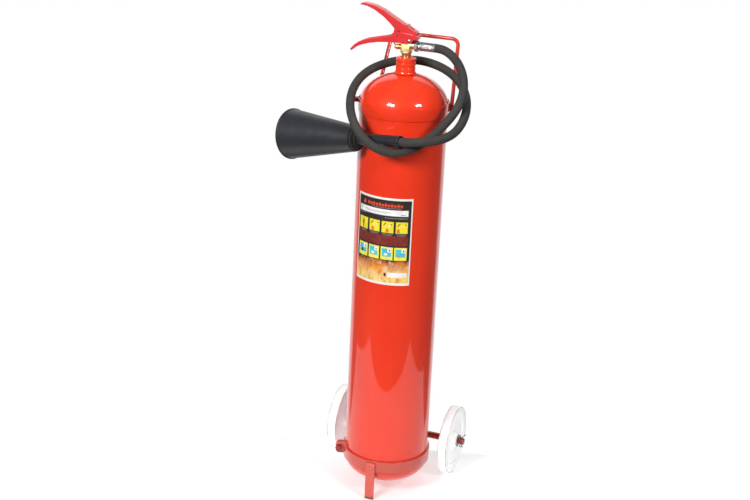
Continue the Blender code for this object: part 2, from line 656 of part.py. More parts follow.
def build_horn():
    """Grip, hose end, nozzle, flange and cone, all on one axis from the grip's open end."""
    heading = Matrix.Rotation(math.radians(HORN_YAW_DEG), 4, "Z")
    level = Matrix.Rotation(math.radians(90.0 + HORN_DIP_DEG), 4, "Y")
    axis = add_empty("horn_axis", GRIP_END, heading @ level)
    grip = [(GRIP_R - 0.4, 0.0), (GRIP_R + 0.3, 0.8), (GRIP_R + 0.3, 3.0), (GRIP_R, 4.0),
            (GRIP_R, GRIP_LENGTH), (GRIP_BORE_R, GRIP_LENGTH), (GRIP_BORE_R, 0.0)]
    turned("horn_grip", grip, HORN_PLASTIC, 24, axis, True)

    low = 42.8
    nipple = [(2.6, low), (8.2, low), (8.2, 58.0), (6.6, 60.0), (6.6, GRIP_LENGTH - 2.0),
              (5.6, GRIP_LENGTH + 12.0), (2.6, GRIP_LENGTH + 12.0)]
    turned("horn_nipple", nipple, STEEL, 16, axis, True)

    start = GRIP_LENGTH + GAP
    flange = [(7.2, start), (20.0, start), (23.5, start + 1.5), (24.5, start + 4.0), (24.5, start + 7.5),
              (7.2, start + 7.5)]
    turned("horn_flange", flange, SEAL_RUBBER, 28, axis, True)

    base = start + 7.5 + GAP
    mouth = base + HORN_LENGTH
    cone = [(7.4, base), (HORN_BASE_R - 1.0, base), (HORN_BASE_R, base + 1.0), (HORN_MOUTH_R, mouth - 3.0),
            (HORN_MOUTH_R + 1.2, mouth - 2.0), (HORN_MOUTH_R + 1.2, mouth),
            (HORN_MOUTH_R - HORN_WALL, mouth), (HORN_BASE_R - HORN_WALL, base + 3.0), (7.4, base + 3.0)]
    turned("horn_cone", cone, HORN_PLASTIC, 40, axis, True)

    nozzle = [(0.0, base + 20.0), (6.4, base + 18.0), (8.6, base + 9.0), (8.6, base + 5.0),
              (5.9, base + 4.8), (0.0, base + 4.8)]
    diffuser = turned("horn_diffuser", nozzle, BRASS, 16, axis)
    for i in range(4):
        turn = math.radians(45 + 90 * i)
        hole = cylinder_mesh("jet", 1.1, 0.0, 12.0, "X", segments=10)
        hole.transform(Matrix.Translation((0, 0, (base + 8.0) * MM)) @ Matrix.Rotation(turn, 4, "Z"))
        cut(diffuser, hole, axis)


# ---------------------------------------------------------------- bands and pull handle

def lug_mesh(name, reach, width, thickness):
    """A lug standing out from a band: a flat tongue with a blunt round end."""
    half = width / 2
    bulge = half * 0.6
    outline = [(0.0, -half)]
    for x, z in arc((0.0, 0.0), half, -90, 90, 9):
        outline.append((reach - bulge + x * bulge / half, z))
    outline.append((0.0, half))
    return upright_plate(name, outline, thickness, None)


def build_band(name, span, lug_span, thickness, lug_reach, bolt_r):
    """A split band round the cylinder, with two lugs, and its bolt, nut and washers."""
    inner = CYL_R + GAP
    outer = inner + thickness
    middle = (lug_span[0] + lug_span[1]) / 2
    gap_half = 3.0
    side = Matrix.Rotation(math.radians(CLAMP_ANGLE_DEG), 4, "Z")  # X outwards through the split
    band = turned(name, tube_profile(outer, inner, *span), RED, 48, closed=True)
    slot = box_mesh(name + "_gap", (inner - 4.0, -gap_half, span[0] - 1.0),
                    (outer + 4.0, gap_half, span[1] + 1.0))
    slot.transform(side)
    cut(band, slot)
    lug_t = max(thickness, 3.0)
    root = inner + thickness * 0.5
    for turn in (-1, 1):
        lug = lug_mesh(name + "_lug", lug_reach, lug_span[1] - lug_span[0], lug_t)
        offset = Vector((root, turn * (gap_half + lug_t / 2 + 0.2), middle)) * MM
        lug.transform(side @ Matrix.Translation(offset))
        join(band, lug)
    centre = root + lug_reach * 0.62
    hole = cylinder_mesh(name + "_hole", bolt_r + GAP, -20.0, 20.0, "Y", (centre, middle), 20)
    hole.transform(side)
    cut(band, hole)

    face = gap_half + 0.2 + lug_t
    hole_at = Matrix.Translation(Vector((centre, 0.0, middle)) * MM)
    place = side @ hole_at @ Matrix.Rotation(math.pi / 2, 4, "X")
    axis = add_empty(name + "_bolt_axis", Vector(place.translation) / MM, place)
    head_r = bolt_r * 1.85
    washer_t = 1.4
    for label, low in (("_washer_head", -face - GAP - washer_t), ("_washer_nut", face + GAP)):
        section = tube_profile(bolt_r * 1.9, bolt_r + GAP, low, low + washer_t)
        turned(name + label, section, STEEL, 20, axis, True)
    far = face + 2 * GAP + washer_t
    head = cylinder_mesh(name + "_bolt", head_r, -far - bolt_r * 1.25, -far, segments=6)
    bolt = finish(name + "_bolt", head, STEEL, axis, smooth=False)
    join(bolt, cylinder_mesh(name + "_shank", bolt_r, -far - 0.5, far + bolt_r * 2.4, segments=20), axis)
    hexagon = cylinder_mesh(name + "_nut", head_r, far, far + bolt_r * 1.6, segments=6, spin_deg=17.0)
    nut = finish(name + "_nut", hexagon, RED, axis, smooth=False)
    cut(nut, cylinder_mesh(name + "_nut_hole", bolt_r + GAP, far - 1.0, far + 20.0, segments=20), axis)


def build_pull_handle():
    """A bent round bar welded to the shoulder band, leaning back over the wheels."""
    radius = CYL_R + 2 * GAP + SHOULDER_BAND_T + ROD_R
    low = SHOULDER_BAND_Z[0] + 3.0
    bend_z = SHOULDER_BAND_Z[1] - 6.0
    angles = [math.radians(angle) for angle in PULL_FEET_DEG]
    right, left = [(radius * math.cos(angle), radius * math.sin(angle)) for angle in angles]
    top_x, top_y, top_z = PULL_TOP
    corners = [(*right, low), (*right, bend_z), (top_x, top_y, top_z),
               (-top_x, top_y, top_z), (*left, bend_z), (*left, low)]
    finish("pull_handle", wire_mesh("pull_handle", rounded_path(corners, PULL_BEND_R), ROD_R, 2), RED)


# ---------------------------------------------------------------- leg, axle and wheels

def build_leg():
    """The front leg, a flat bar standing on the floor, welded to the lower band."""
    back = -(CYL_R + 2 * GAP + BASE_BAND_T)
    mesh = box_mesh("front_leg", (-LEG_W / 2, back - LEG_T, 0.0), (LEG_W / 2, back, BASE_BAND_Z[1] - 4.0))
    leg = finish("front_leg", mesh, RED)
    bevel(leg, 0.8)


def build_axle():
    """The axle bar and the two plates that weld it to the back of the lower band."""
    axis = add_empty("axle_axis", (AXLE_X, AXLE_Y, WHEEL_R), Matrix.Rotation(math.pi / 2, 4, "Y"))
    axle = turned("axle", rod_profile(AXLE_R, -AXLE_HALF, AXLE_HALF, 1.2), RED, 24, axis)
    for side in (-1, 1):
        cut(axle, cylinder_mesh("cotter_bore", 2.7, -12.0, 12.0, "X", (0.0, side * COTTER_REACH), 16), axis)
    plate_x = 30.0
    front = 91.0
    eye_r = 12.5
    stand = Matrix(((0, 0, 1, 0), (1, 0, 0, 0), (0, 1, 0, 0), (0, 0, 0, 1)))  # outline's XY to YZ
    for name, side in (("axle_bracket_left", -1), ("axle_bracket_right", 1)):
        outline = [(front, WHEEL_R - 9.5), (AXLE_Y, WHEEL_R - eye_r)]
        outline += arc((AXLE_Y, WHEEL_R), eye_r, -80, 80, 9)
        outline += [(AXLE_Y, WHEEL_R + eye_r), (front, WHEEL_R + 11.5)]
        mesh = plate_mesh(name, outline, 5.0)
        mesh.transform(Matrix.Translation((side * plate_x * MM, 0, 0)) @ stand)
        plate = finish(name, mesh, RED)
        cut(plate, cylinder_mesh(name + "_hole", AXLE_R + GAP, -60.0, 60.0, "X", (AXLE_Y, WHEEL_R), 28))


def build_wheel(name, side):
    """One wheel: plastic centre, tyre and bush, with its two washers and split pin."""
    place = (AXLE_X + side * WHEEL_REACH, AXLE_Y, WHEEL_R)
    axis = add_empty(name + "_axis", place, Matrix.Rotation(side * math.pi / 2, 4, "Y"))
    half = WHEEL_W / 2
    bead = 60.0
    hub = half + 3.5
    bush_r = AXLE_R + GAP + 1.9
    bore = bush_r + GAP
    centre = [(bead, half - 2.0), (bead, 2.0 - half), (bead - 4.0, 1.0 - half), (bead - 6.0, 4.0 - half),
              (22.0, 5.5 - half), (17.0, 4.0 - half), (16.0, -hub), (bore, -hub), (bore, hub), (16.0, hub),
              (17.0, half - 4.0), (22.0, half - 5.5), (bead - 6.0, half - 4.0), (bead - 4.0, half - 1.0)]
    turned(name + "_centre", centre, WHITE_PLASTIC, 36, axis, True)
    inner = bead + GAP
    tyre = [(inner, half - 2.0), (inner + 3.0, half)] + arc((WHEEL_R - 3.5, half - 3.5), 3.5, 90, 0, 3)
    tyre += arc((WHEEL_R - 3.5, 3.5 - half), 3.5, 0, -90, 3) + [(inner + 3.0, -half), (inner, 2.0 - half)]
    turned(name + "_tyre", tyre, WHITE_TYRE, 48, axis, True)
    turned(name + "_bush", tube_profile(bush_r, AXLE_R + GAP, -hub, hub), BUSH_PLASTIC, 20, axis, True)
    gap = GAP + 0.2
    for label, low in (("_washer_inner", -hub - gap - 2.0), ("_washer_outer", hub + gap)):
        turned(name + label, tube_profile(14.0, AXLE_R + GAP, low, low + 2.0), STEEL, 18, axis, True)

    wire_r = 1.0
    station = COTTER_REACH - WHEEL_REACH
    near = station - 1.25
    far = station + 1.25
    bent = [(near - 1.0, AXLE_R + 6.5), (near, AXLE_R + 1.6), (near, -AXLE_R - 1.0)]
    bent += arc((station, -AXLE_R - 4.6), 3.0, 125, 415, 9)
    bent += [(far, -AXLE_R - 1.0), (far, AXLE_R + 1.2), (far + 2.2, AXLE_R + 3.2)]
    bent += [(station + 9.5, AXLE_R + 10.5)]
    path = [(x, 0.0, z) for x, z in bent]
    pin_axis = add_empty(name + "_cotter_axis", place, Matrix.Rotation(math.pi / 2 * (1 - side), 4, "Z"))
    finish(name + "_cotter", wire_mesh(name + "_cotter", path, wire_r, 2), STEEL, pin_axis)


# ---------------------------------------------------------------- assembly

def centre_on_footprint():
    """Move the frame so that the origin is the middle of the bounding box's floor."""
    bpy.context.view_layer.update()
    graph = bpy.context.evaluated_depsgraph_get()
    low = Vector((1e9, 1e9, 1e9))
    high = -low
    for piece in PARTS.objects:
        if piece.name == "discharge_hose":
            continue
        mesh = piece.evaluated_get(graph).to_mesh()
        for vertex in mesh.vertices:
            place = piece.matrix_world @ vertex.co
            low = Vector(map(min, low, place))
            high = Vector(map(max, high, place))
    middle = (low + high) / 2
    FRAME.location = (-middle.x, -middle.y, -low.z)
    bpy.context.view_layer.update()
    print("frame shift, m:", tuple(round(v, 6) for v in FRAME.location), "size:",
          tuple(round(v, 5) for v in high - low))


build_cylinder()
build_label()
build_valve_body()
build_valve_inside()
build_safety_plug()
build_operating_lever()
build_carrying_handle()
build_pins()
build_outlet()
build_hose()
build_horn()
build_band("shoulder_band", SHOULDER_BAND_Z, SHOULDER_LUG_Z, SHOULDER_BAND_T, 18.0, 2.0)
build_pull_handle()
build_band("base_band", BASE_BAND_Z, BASE_LUG_Z, BASE_BAND_T, 19.0, 4.0)
build_leg()
build_axle()
build_wheel("wheel_left", -1)
build_wheel("wheel_right", 1)
centre_on_footprint()
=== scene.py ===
"""Looks of the wheeled carbon dioxide fire extinguisher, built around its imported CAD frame.

Places and sizes come from the frame: CYL is the cylinder's axis, and at(x, y, z) turns
millimetres from that axis and from the floor into the frame's metres.
"""

import json
import math

import bmesh
import bpy
import numpy as np
from mathutils import Matrix, Vector, noise


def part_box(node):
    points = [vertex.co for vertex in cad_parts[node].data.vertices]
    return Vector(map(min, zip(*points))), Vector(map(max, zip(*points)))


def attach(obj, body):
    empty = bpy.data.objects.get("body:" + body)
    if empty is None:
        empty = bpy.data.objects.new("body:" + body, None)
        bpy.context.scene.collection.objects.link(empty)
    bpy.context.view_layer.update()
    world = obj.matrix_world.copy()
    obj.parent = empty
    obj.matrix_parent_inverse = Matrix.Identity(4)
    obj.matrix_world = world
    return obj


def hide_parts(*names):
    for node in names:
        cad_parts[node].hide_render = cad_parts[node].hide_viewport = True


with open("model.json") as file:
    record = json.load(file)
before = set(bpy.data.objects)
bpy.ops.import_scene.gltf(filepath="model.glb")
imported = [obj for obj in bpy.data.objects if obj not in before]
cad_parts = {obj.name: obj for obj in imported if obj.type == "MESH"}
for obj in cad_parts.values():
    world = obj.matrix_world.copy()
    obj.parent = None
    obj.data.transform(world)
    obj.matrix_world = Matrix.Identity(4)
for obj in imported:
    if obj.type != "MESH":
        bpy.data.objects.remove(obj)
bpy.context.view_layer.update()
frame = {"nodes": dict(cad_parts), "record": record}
MM = 0.001


# ---------------------------------------------------------------- measures from the frame

def middle(node):
    low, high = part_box(node)
    return (low + high) / 2


CYL = middle("cylinder_shell").xy
CYL_LOW, CYL_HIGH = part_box("cylinder_shell")
CYL_R = (CYL_HIGH.x - CYL_LOW.x) / 2 / MM
NECK_TOP = CYL_HIGH.z / MM
BODY_OF = {node: body for body, nodes in frame["record"]["behaviour"]["bodies"].items() for node in nodes}


def at(x, y, z):
    return Vector((CYL.x + x * MM, CYL.y + y * MM, z * MM))


def span(node):
    """A node's lowest and highest heights, in mm."""
    low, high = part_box(node)
    return low.z / MM, high.z / MM


# ---------------------------------------------------------------- camera

CAMERA_AZIMUTH = math.radians(20.0)
CAMERA_PITCH = math.radians(19.57)
CAMERA_ROLL = math.radians(2.62)
CAMERA_PLACE = Vector((-0.0445, -2.8179, 1.5384))  # from the cylinder's foot, before the azimuth turn
CAMERA_LENS = 68.67


def add_camera():
    data = bpy.data.cameras.new("camera")
    data.lens = CAMERA_LENS
    data.sensor_width = 36.0
    camera = bpy.data.objects.new("camera", data)
    bpy.context.scene.collection.objects.link(camera)
    turn = Matrix.Rotation(CAMERA_AZIMUTH, 4, "Z")
    place = turn @ CAMERA_PLACE + Vector((CYL.x, CYL.y, 0.0))
    tilt = Matrix.Rotation(math.pi / 2 - CAMERA_PITCH, 4, "X")
    roll = Matrix.Rotation(CAMERA_ROLL, 4, "Z")
    camera.matrix_world = Matrix.Translation(place) @ turn @ tilt @ roll
    bpy.context.scene.camera = camera


# ---------------------------------------------------------------- materials

class Look:
    """A Principled material and short calls for the nodes that feed it."""

    def __init__(self, name, colour, roughness, metallic=0.0):
        self.material = bpy.data.materials.new(name)
        self.material.use_nodes = True
        self.tree = self.material.node_tree
        self.shader = self.tree.nodes["Principled BSDF"]
        self.place = self.node("ShaderNodeTexCoord").outputs["Object"]
        self.set(**{"Base Color": (*colour, 1.0), "Roughness": roughness, "Metallic": metallic})
        self.material.diffuse_color = (*colour, 1.0)

    def node(self, kind, **values):
        made = self.tree.nodes.new(kind)
        for key, value in values.items():
            setattr(made, key, value)
        return made

    def set(self, **sockets):
        for key, value in sockets.items():
            self.shader.inputs[key].default_value = value

    def feed(self, output, socket):
        self.tree.links.new(output, socket)

    def plug(self, output, name):
        self.feed(output, self.shader.inputs[name])

    def noise(self, scale, detail=3.0, roughness=0.55, stretch=(1.0, 1.0, 1.0)):
        mapping = self.node("ShaderNodeMapping")
        mapping.inputs["Scale"].default_value = stretch
        self.feed(self.place, mapping.inputs["Vector"])
        texture = self.node("ShaderNodeTexNoise")
        texture.inputs["Scale"].default_value = scale
        texture.inputs["Detail"].default_value = detail
        texture.inputs["Roughness"].default_value = roughness
        self.feed(mapping.outputs["Vector"], texture.inputs["Vector"])
        return texture.outputs["Fac"]

    def speckle(self, scale):
        texture = self.node("ShaderNodeTexVoronoi")
        texture.inputs["Scale"].default_value = scale
        self.feed(self.place, texture.inputs["Vector"])
        return texture.outputs["Distance"]

    def limits(self, value, low, high, start=0.0, end=1.0):
        """The value's stretch from low to high, turned into start to end and clamped."""
        made = self.node("ShaderNodeMapRange", clamp=True)
        for key, number in (("From Min", low), ("From Max", high), ("To Min", start), ("To Max", end)):
            made.inputs[key].default_value = number
        self.feed(value, made.inputs["Value"])
        return made.outputs["Result"]

    def maths(self, operation, first, second):
        made = self.node("ShaderNodeMath", operation=operation)
        for socket, value in zip(made.inputs, (first, second)):
            if isinstance(value, (int, float)):
                socket.default_value = value
            else:
                self.feed(value, socket)
        return made.outputs["Value"]

    def mix(self, factor, first, second):
        """A colour between two, each a triple or an output."""
        made = self.node("ShaderNodeMix", data_type="RGBA")
        self.feed(factor, made.inputs["Factor"])
        for key, value in (("A", first), ("B", second)):
            socket = [i for i in made.inputs if i.name == key and i.type == "RGBA"][0]
            if isinstance(value, tuple):
                socket.default_value = (*value, 1.0)
            else:
                self.feed(value, socket)
        return [o for o in made.outputs if o.type == "RGBA"][0]

    def bump(self, height, strength, distance):
        made = self.node("ShaderNodeBump")
        made.inputs["Strength"].default_value = strength
        made.inputs["Distance"].default_value = distance
        self.feed(height, made.inputs["Height"])
        self.plug(made.outputs["Normal"], "Normal")


PRIMER = (0.10, 0.035, 0.02)


def enamel(name, colour, deep, chip_scale, chip_at):
    """Glossy stove enamel: slight mottling, orange peel and a few chips down to the primer."""
    look = Look(name, colour, 0.42)
    tone = look.mix(look.limits(look.noise(7.0, 4.0), 0.35, 0.7), colour, deep)
    chips = look.limits(look.speckle(chip_scale), chip_at, chip_at * 0.7)
    worn = look.maths("MULTIPLY", chips, look.limits(look.noise(9.0, 2.0), 0.54, 0.6))
    look.plug(look.mix(worn, tone, PRIMER), "Base Color")
    look.plug(look.limits(look.noise(25.0), 0.3, 0.8, 0.36, 0.5), "Roughness")
    look.set(**{"Coat Weight": 1.0, "Coat Roughness": 0.035, "Coat IOR": 1.5, "Specular IOR Level": 0.15})
    look.bump(look.noise(420.0, 2.0), 0.06, 0.00008)
    return look.material


def metal(name, colour, roughness, dark=0.7, relief=0.12):
    """Bare or plated metal with cloudy tone and fine relief."""
    look = Look(name, colour, roughness, 1.0)
    scale = 180.0
    dull = tuple(c * dark for c in colour)
    look.plug(look.mix(look.limits(look.noise(scale / 4, 4.0), 0.35, 0.7), colour, dull), "Base Color")
    look.plug(look.limits(look.noise(scale, 4.0), 0.3, 0.75, roughness * 0.7, roughness * 1.5),
              "Roughness")
    look.bump(look.noise(scale * 3, 3.0), relief, 0.0001)
    return look.material


def moulded(name, colour, roughness, fleck=None, fleck_scale=35.0, lift=0.0):
    """Moulded plastic or rubber with fine grain, cloudy tone and small dirt flecks.

    lift is a weak white glow, so that white plastic reads as overexposed.
    """
    look = Look(name, colour, roughness)
    cloud = tuple(c * 0.8 for c in colour)
    tone = look.mix(look.limits(look.noise(14.0, 5.0), 0.35, 0.75), colour, cloud)
    if fleck:
        dots = look.limits(look.speckle(fleck_scale), 0.08, 0.048)
        few = look.maths("MULTIPLY", dots, look.limits(look.noise(30.0, 2.0), 0.55, 0.62))
        tone = look.mix(few, tone, fleck)
    look.plug(tone, "Base Color")
    look.plug(look.limits(look.noise(60.0, 4.0), 0.3, 0.7, roughness * 0.85, roughness * 1.15), "Roughness")
    look.bump(look.noise(900.0, 3.0), 0.15, 0.0001)
    look.set(**{"Emission Color": (1.0, 1.0, 1.0, 1.0), "Emission Strength": lift})
    return look.material


def hose_cover():
    """Wrapped-cure hose: a cloth imprint of fine crossing threads, with dust in it."""
    look = Look("hose_cover", (0.085, 0.08, 0.07), 0.8)
    uv = look.node("ShaderNodeTexCoord").outputs["UV"]
    waves = []
    for turn in (0.62, -0.62):
        mapping = look.node("ShaderNodeMapping")
        mapping.inputs["Rotation"].default_value = (0.0, 0.0, turn)
        look.feed(uv, mapping.inputs["Vector"])
        wave = look.node("ShaderNodeTexWave", wave_type="BANDS", bands_direction="X")
        wave.inputs["Scale"].default_value = 230.0
        wave.inputs["Distortion"].default_value = 0.4
        look.feed(mapping.outputs["Vector"], wave.inputs["Vector"])
        waves.append(wave.outputs["Fac"])
    weave = look.maths("MAXIMUM", waves[0], waves[1])
    cloud = look.limits(look.noise(16.0, 5.0), 0.35, 0.7)
    tone = look.mix(cloud, (0.047, 0.045, 0.041), (0.028, 0.027, 0.025))
    tone = look.mix(look.limits(weave, 0.0, 1.0, 0.0, 0.22), tone, (0.075, 0.072, 0.066))
    dust = look.maths("MULTIPLY", look.limits(look.speckle(520.0), 0.16, 0.05),
                      look.limits(look.noise(35.0, 4.0), 0.55, 0.75))
    look.plug(look.mix(dust, tone, (0.30, 0.28, 0.25)), "Base Color")
    look.bump(look.maths("ADD", weave, look.noise(700.0, 2.0)), 0.35, 0.00025)
    look.set(**{"Specular IOR Level": 0.25})
    return look.material


def worn_leg():
    """The leg's enamel, worn to brown rust at its foot."""
    look = Look("leg_enamel", (0.62, 0.09, 0.06), 0.45)
    height = look.node("ShaderNodeSeparateXYZ")
    look.feed(look.place, height.inputs["Vector"])
    ragged = look.maths("ADD", look.maths("MULTIPLY", look.noise(90.0, 5.0), 0.028), -0.010)
    low = look.limits(look.maths("SUBTRACT", height.outputs["Z"], ragged), 0.003, -0.001)
    rust = look.mix(look.noise(260.0, 4.0), (0.10, 0.03, 0.015), (0.26, 0.09, 0.04))
    chips = look.limits(look.noise(130.0, 4.0), 0.66, 0.70)
    bare = look.maths("MAXIMUM", low, chips)
    paint = look.mix(look.limits(look.noise(12.0, 3.0), 0.35, 0.7), (0.74, 0.10, 0.068), (0.62, 0.078, 0.05))
    look.plug(look.mix(bare, paint, rust), "Base Color")
    look.plug(look.limits(bare, 0.0, 1.0, 0.38, 0.85), "Roughness")
    look.bump(look.maths("ADD", bare, look.noise(300.0, 3.0)), 0.2, 0.0003)
    look.set(**{"Coat Weight": 0.5, "Coat Roughness": 0.1})
    return look.material


FILM_COAT = {"Coat Weight": 0.6, "Coat Roughness": 0.12}


def print_ink(name, colour, second=None, scale=60.0):
    """Glossy printed film; a second colour mottles it, as in a photographic print."""
    look = Look(name, colour, 0.35)
    other = second or tuple(c * 0.86 for c in colour)
    mottle = look.limits(look.noise(scale, 5.0), 0.36, 0.64)
    look.plug(look.mix(mottle, colour, other), "Base Color")
    look.set(**FILM_COAT)
    look.bump(look.noise(500.0, 2.0), 0.05, 0.00008)
    return look.material


RED = enamel("red_enamel", (0.86, 0.045, 0.012), (0.80, 0.036, 0.010), chip_scale=45.0, chip_at=0.05)
BAND_RED = enamel("band_enamel", (0.68, 0.090, 0.058), (0.54, 0.066, 0.042), chip_scale=140.0, chip_at=0.09)
LEVER_RED = enamel("lever_enamel", (0.70, 0.032, 0.036), (0.60, 0.027, 0.031), chip_scale=150.0, chip_at=0.05)
ROD_RED = enamel("rod_enamel", (0.66, 0.05, 0.035), (0.50, 0.03, 0.02), chip_scale=160.0, chip_at=0.09)
DARK_RED = enamel("axle_enamel", (0.34, 0.022, 0.018), (0.22, 0.014, 0.011), chip_scale=180.0, chip_at=0.12)
LEG = worn_leg()
BRASS = metal("brass_machined", (0.96, 0.70, 0.32), 0.36, dark=0.86, relief=0.05)
CHROME = metal("chrome_plate", (0.84, 0.84, 0.84), 0.24, dark=0.88, relief=0.03)
SATIN = metal("satin_sleeve", (0.46, 0.46, 0.47), 0.50, dark=0.75, relief=0.02)
ZINC = metal("zinc_plate", (0.50, 0.50, 0.48), 0.36, dark=0.6)
OLD_STEEL = metal("aged_steel", (0.22, 0.20, 0.18), 0.5, dark=0.5)
HORN = moulded("horn_plastic", (0.026, 0.027, 0.032), 0.40, fleck=(0.10, 0.10, 0.10), fleck_scale=260.0)
GRIP = moulded("grip_plastic", (0.024, 0.025, 0.030), 0.36)
SEAL = moulded("seal_rubber", (0.018, 0.018, 0.018), 0.7)
WHEEL = moulded("wheel_plastic", (0.97, 0.97, 0.97), 0.5, fleck=(0.22, 0.12, 0.07), fleck_scale=42.0,
                lift=0.22)
TYRE = moulded("wheel_tyre", (0.97, 0.97, 0.97), 0.6, fleck=(0.25, 0.14, 0.09), fleck_scale=70.0, lift=0.20)
BUSH = moulded("bush_plastic", (0.5, 0.5, 0.48), 0.5)
HOSE = hose_cover()


# ---------------------------------------------------------------- mesh helpers

def piece(name, vertices, faces, look, body="root", sharp_deg=35.0):
    """A new piece from points in metres in the row frame, riding on a body."""
    mesh = bpy.data.meshes.new(name)
    mesh.from_pydata([tuple(v) for v in vertices], [], faces)
    mesh.validate()
    mesh.materials.append(look)
    shape = bmesh.new()
    shape.from_mesh(mesh)
    bmesh.ops.recalc_face_normals(shape, faces=shape.faces)
    shape.to_mesh(mesh)
    shape.free()
    mesh.shade_smooth()
    mesh.set_sharp_from_angle(angle=math.radians(sharp_deg))
    made = bpy.data.objects.new(name, mesh)
    bpy.context.scene.collection.objects.link(made)
    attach(made, body)
    return made


def grid_faces(rows, columns, wrap_rows=False):
    """The faces between rows of points; each row closes on itself."""
    faces = []
    for i in range(rows if wrap_rows else rows - 1):
        for j in range(columns):
            a = i * columns + j
            b = i * columns + (j + 1) % columns
            c = ((i + 1) % rows) * columns + (j + 1) % columns
            d = ((i + 1) % rows) * columns + j
            faces.append((a, b, c, d))
    return faces


def lathe(name, profile, place, look, steps=96, body="root", closed=True, ripple=None):
    """Spin a profile (radius, height), in mm, about the Z axis of place.

    A closed profile makes a ring; an open one starts and ends on the axis. ripple
    changes the radius: it takes the profile's index, the angle and the radius.
    """
    points = []
    ends = [] if closed else [0, len(profile) - 1]
    inner = [i for i in range(len(profile)) if i not in ends]
    for i in inner:
        radius, height = profile[i]
        for j in range(steps):
            angle = 2 * math.pi * j / steps
            r = ripple(i, angle, radius) if ripple else radius
            points.append(place @ Vector((r * math.cos(angle) * MM, r * math.sin(angle) * MM, height * MM)))
    faces = grid_faces(len(inner), steps, wrap_rows=closed)
    for i, row in zip(ends, (0, len(inner) - 1)):
        points.append(place @ Vector((0.0, 0.0, profile[i][1] * MM)))
        tip = len(points) - 1
        faces += [(row * steps + j, row * steps + (j + 1) % steps, tip) for j in range(steps)]
    return piece(name, points, faces, look, body)


def rounded(profile, radius, steps=4):
    """A closed profile with each corner replaced by a short arc-like curve."""
    out = []
    count = len(profile)
    for i, here in enumerate(profile):
        here = Vector(here)
        before = Vector(profile[i - 1]) - here
        after = Vector(profile[(i + 1) % count]) - here
        reach = min(radius, before.length * 0.45, after.length * 0.45)
        start = here + before.normalized() * reach
        end = here + after.normalized() * reach
        for k in range(steps + 1):
            t = k / steps
            out.append(tuple(start * (1 - t) ** 2 + here * (2 * t * (1 - t)) + end * t ** 2))
    return out


BEVEL_ANGLE = math.radians(35.0)  # edges sharper than this are rounded


def refined(node, look, body="root", bevel=0.0, segments=2, sharp_deg=32.0):
    """A welded, smooth-shaded and edge-rounded copy that stands for a CAD node."""
    source = frame["nodes"][node]
    mesh = source.data.copy()
    mesh.name = node + "_finish"
    shape = bmesh.new()
    shape.from_mesh(mesh)
    bmesh.ops.remove_doubles(shape, verts=shape.verts, dist=0.000004)
    bmesh.ops.dissolve_limit(shape, angle_limit=math.radians(0.6), verts=shape.verts, edges=shape.edges)
    if bevel:
        edges = [e for e in shape.edges if len(e.link_faces) == 2
                 and e.calc_face_angle(0.0) > BEVEL_ANGLE]
        bmesh.ops.bevel(shape, geom=edges, offset=bevel * MM, segments=segments, affect="EDGES",
                        profile=0.6, clamp_overlap=True)
    bmesh.ops.triangulate(shape, faces=[f for f in shape.faces if len(f.verts) > 4])
    bmesh.ops.recalc_face_normals(shape, faces=shape.faces)
    shape.to_mesh(mesh)
    shape.free()
    mesh.materials.clear()
    mesh.materials.append(look)
    mesh.shade_smooth()
    mesh.set_sharp_from_angle(angle=math.radians(sharp_deg))
    made = bpy.data.objects.new(node + "_finish", mesh)
    bpy.context.scene.collection.objects.link(made)
    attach(made, body)
    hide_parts(node)


def along(start, end):
    """A frame whose Z runs from start to end, with its origin at start."""
    z = (end - start).normalized()
    turn = z.to_track_quat("Z", "Y").to_matrix().to_4x4()
    return Matrix.Translation(start) @ turn


def tube(name, path, radius, look, body="root", sides=16, uv=False, ripple=None):
    """A round tube along points in metres, its radius in mm, whose rings turn no more than they must.

    ripple changes the radius: it takes the run along the tube and the angle round it.
    uv lays the surface out in metres: the run, then the way round.
    """
    points = np.array([tuple(p) for p in path])
    steps = np.diff(points, axis=0)
    lengths = np.linalg.norm(steps, axis=1)
    run = np.concatenate([[0.0], np.cumsum(lengths)])
    tangents = np.gradient(points, run, axis=0)
    tangents /= np.linalg.norm(tangents, axis=1)[:, None]
    side = Vector(tangents[0]).orthogonal().normalized()
    vertices = []
    for i, (point, tangent) in enumerate(zip(points, tangents)):
        tangent = Vector(tangent)
        side = (side - tangent * side.dot(tangent)).normalized()
        up = tangent.cross(side)
        for j in range(sides):
            angle = 2 * math.pi * j / sides
            r = radius * MM * (ripple(run[i], angle) if ripple else 1.0)
            vertices.append(Vector(point) + (side * math.cos(angle) + up * math.sin(angle)) * r)
    faces = grid_faces(len(points), sides)
    faces.append(tuple(range(sides - 1, -1, -1)))
    faces.append(tuple((len(points) - 1) * sides + j for j in range(sides)))
    made = piece(name, vertices, faces, look, body)
    if uv:
        layer = made.data.uv_layers.new(name="wrap")
        rim = 2 * math.pi * radius * MM
        for face in made.data.polygons:
            columns = [made.data.loops[k].vertex_index % sides for k in face.loop_indices]
            seam = max(columns) == sides - 1 and min(columns) == 0 and len(columns) == 4
            for k, column in zip(face.loop_indices, columns):
                row = made.data.loops[k].vertex_index // sides
                turn = sides if seam and column == 0 else column
                layer.data[k].uv = (run[row], turn / sides * rim)
    return made


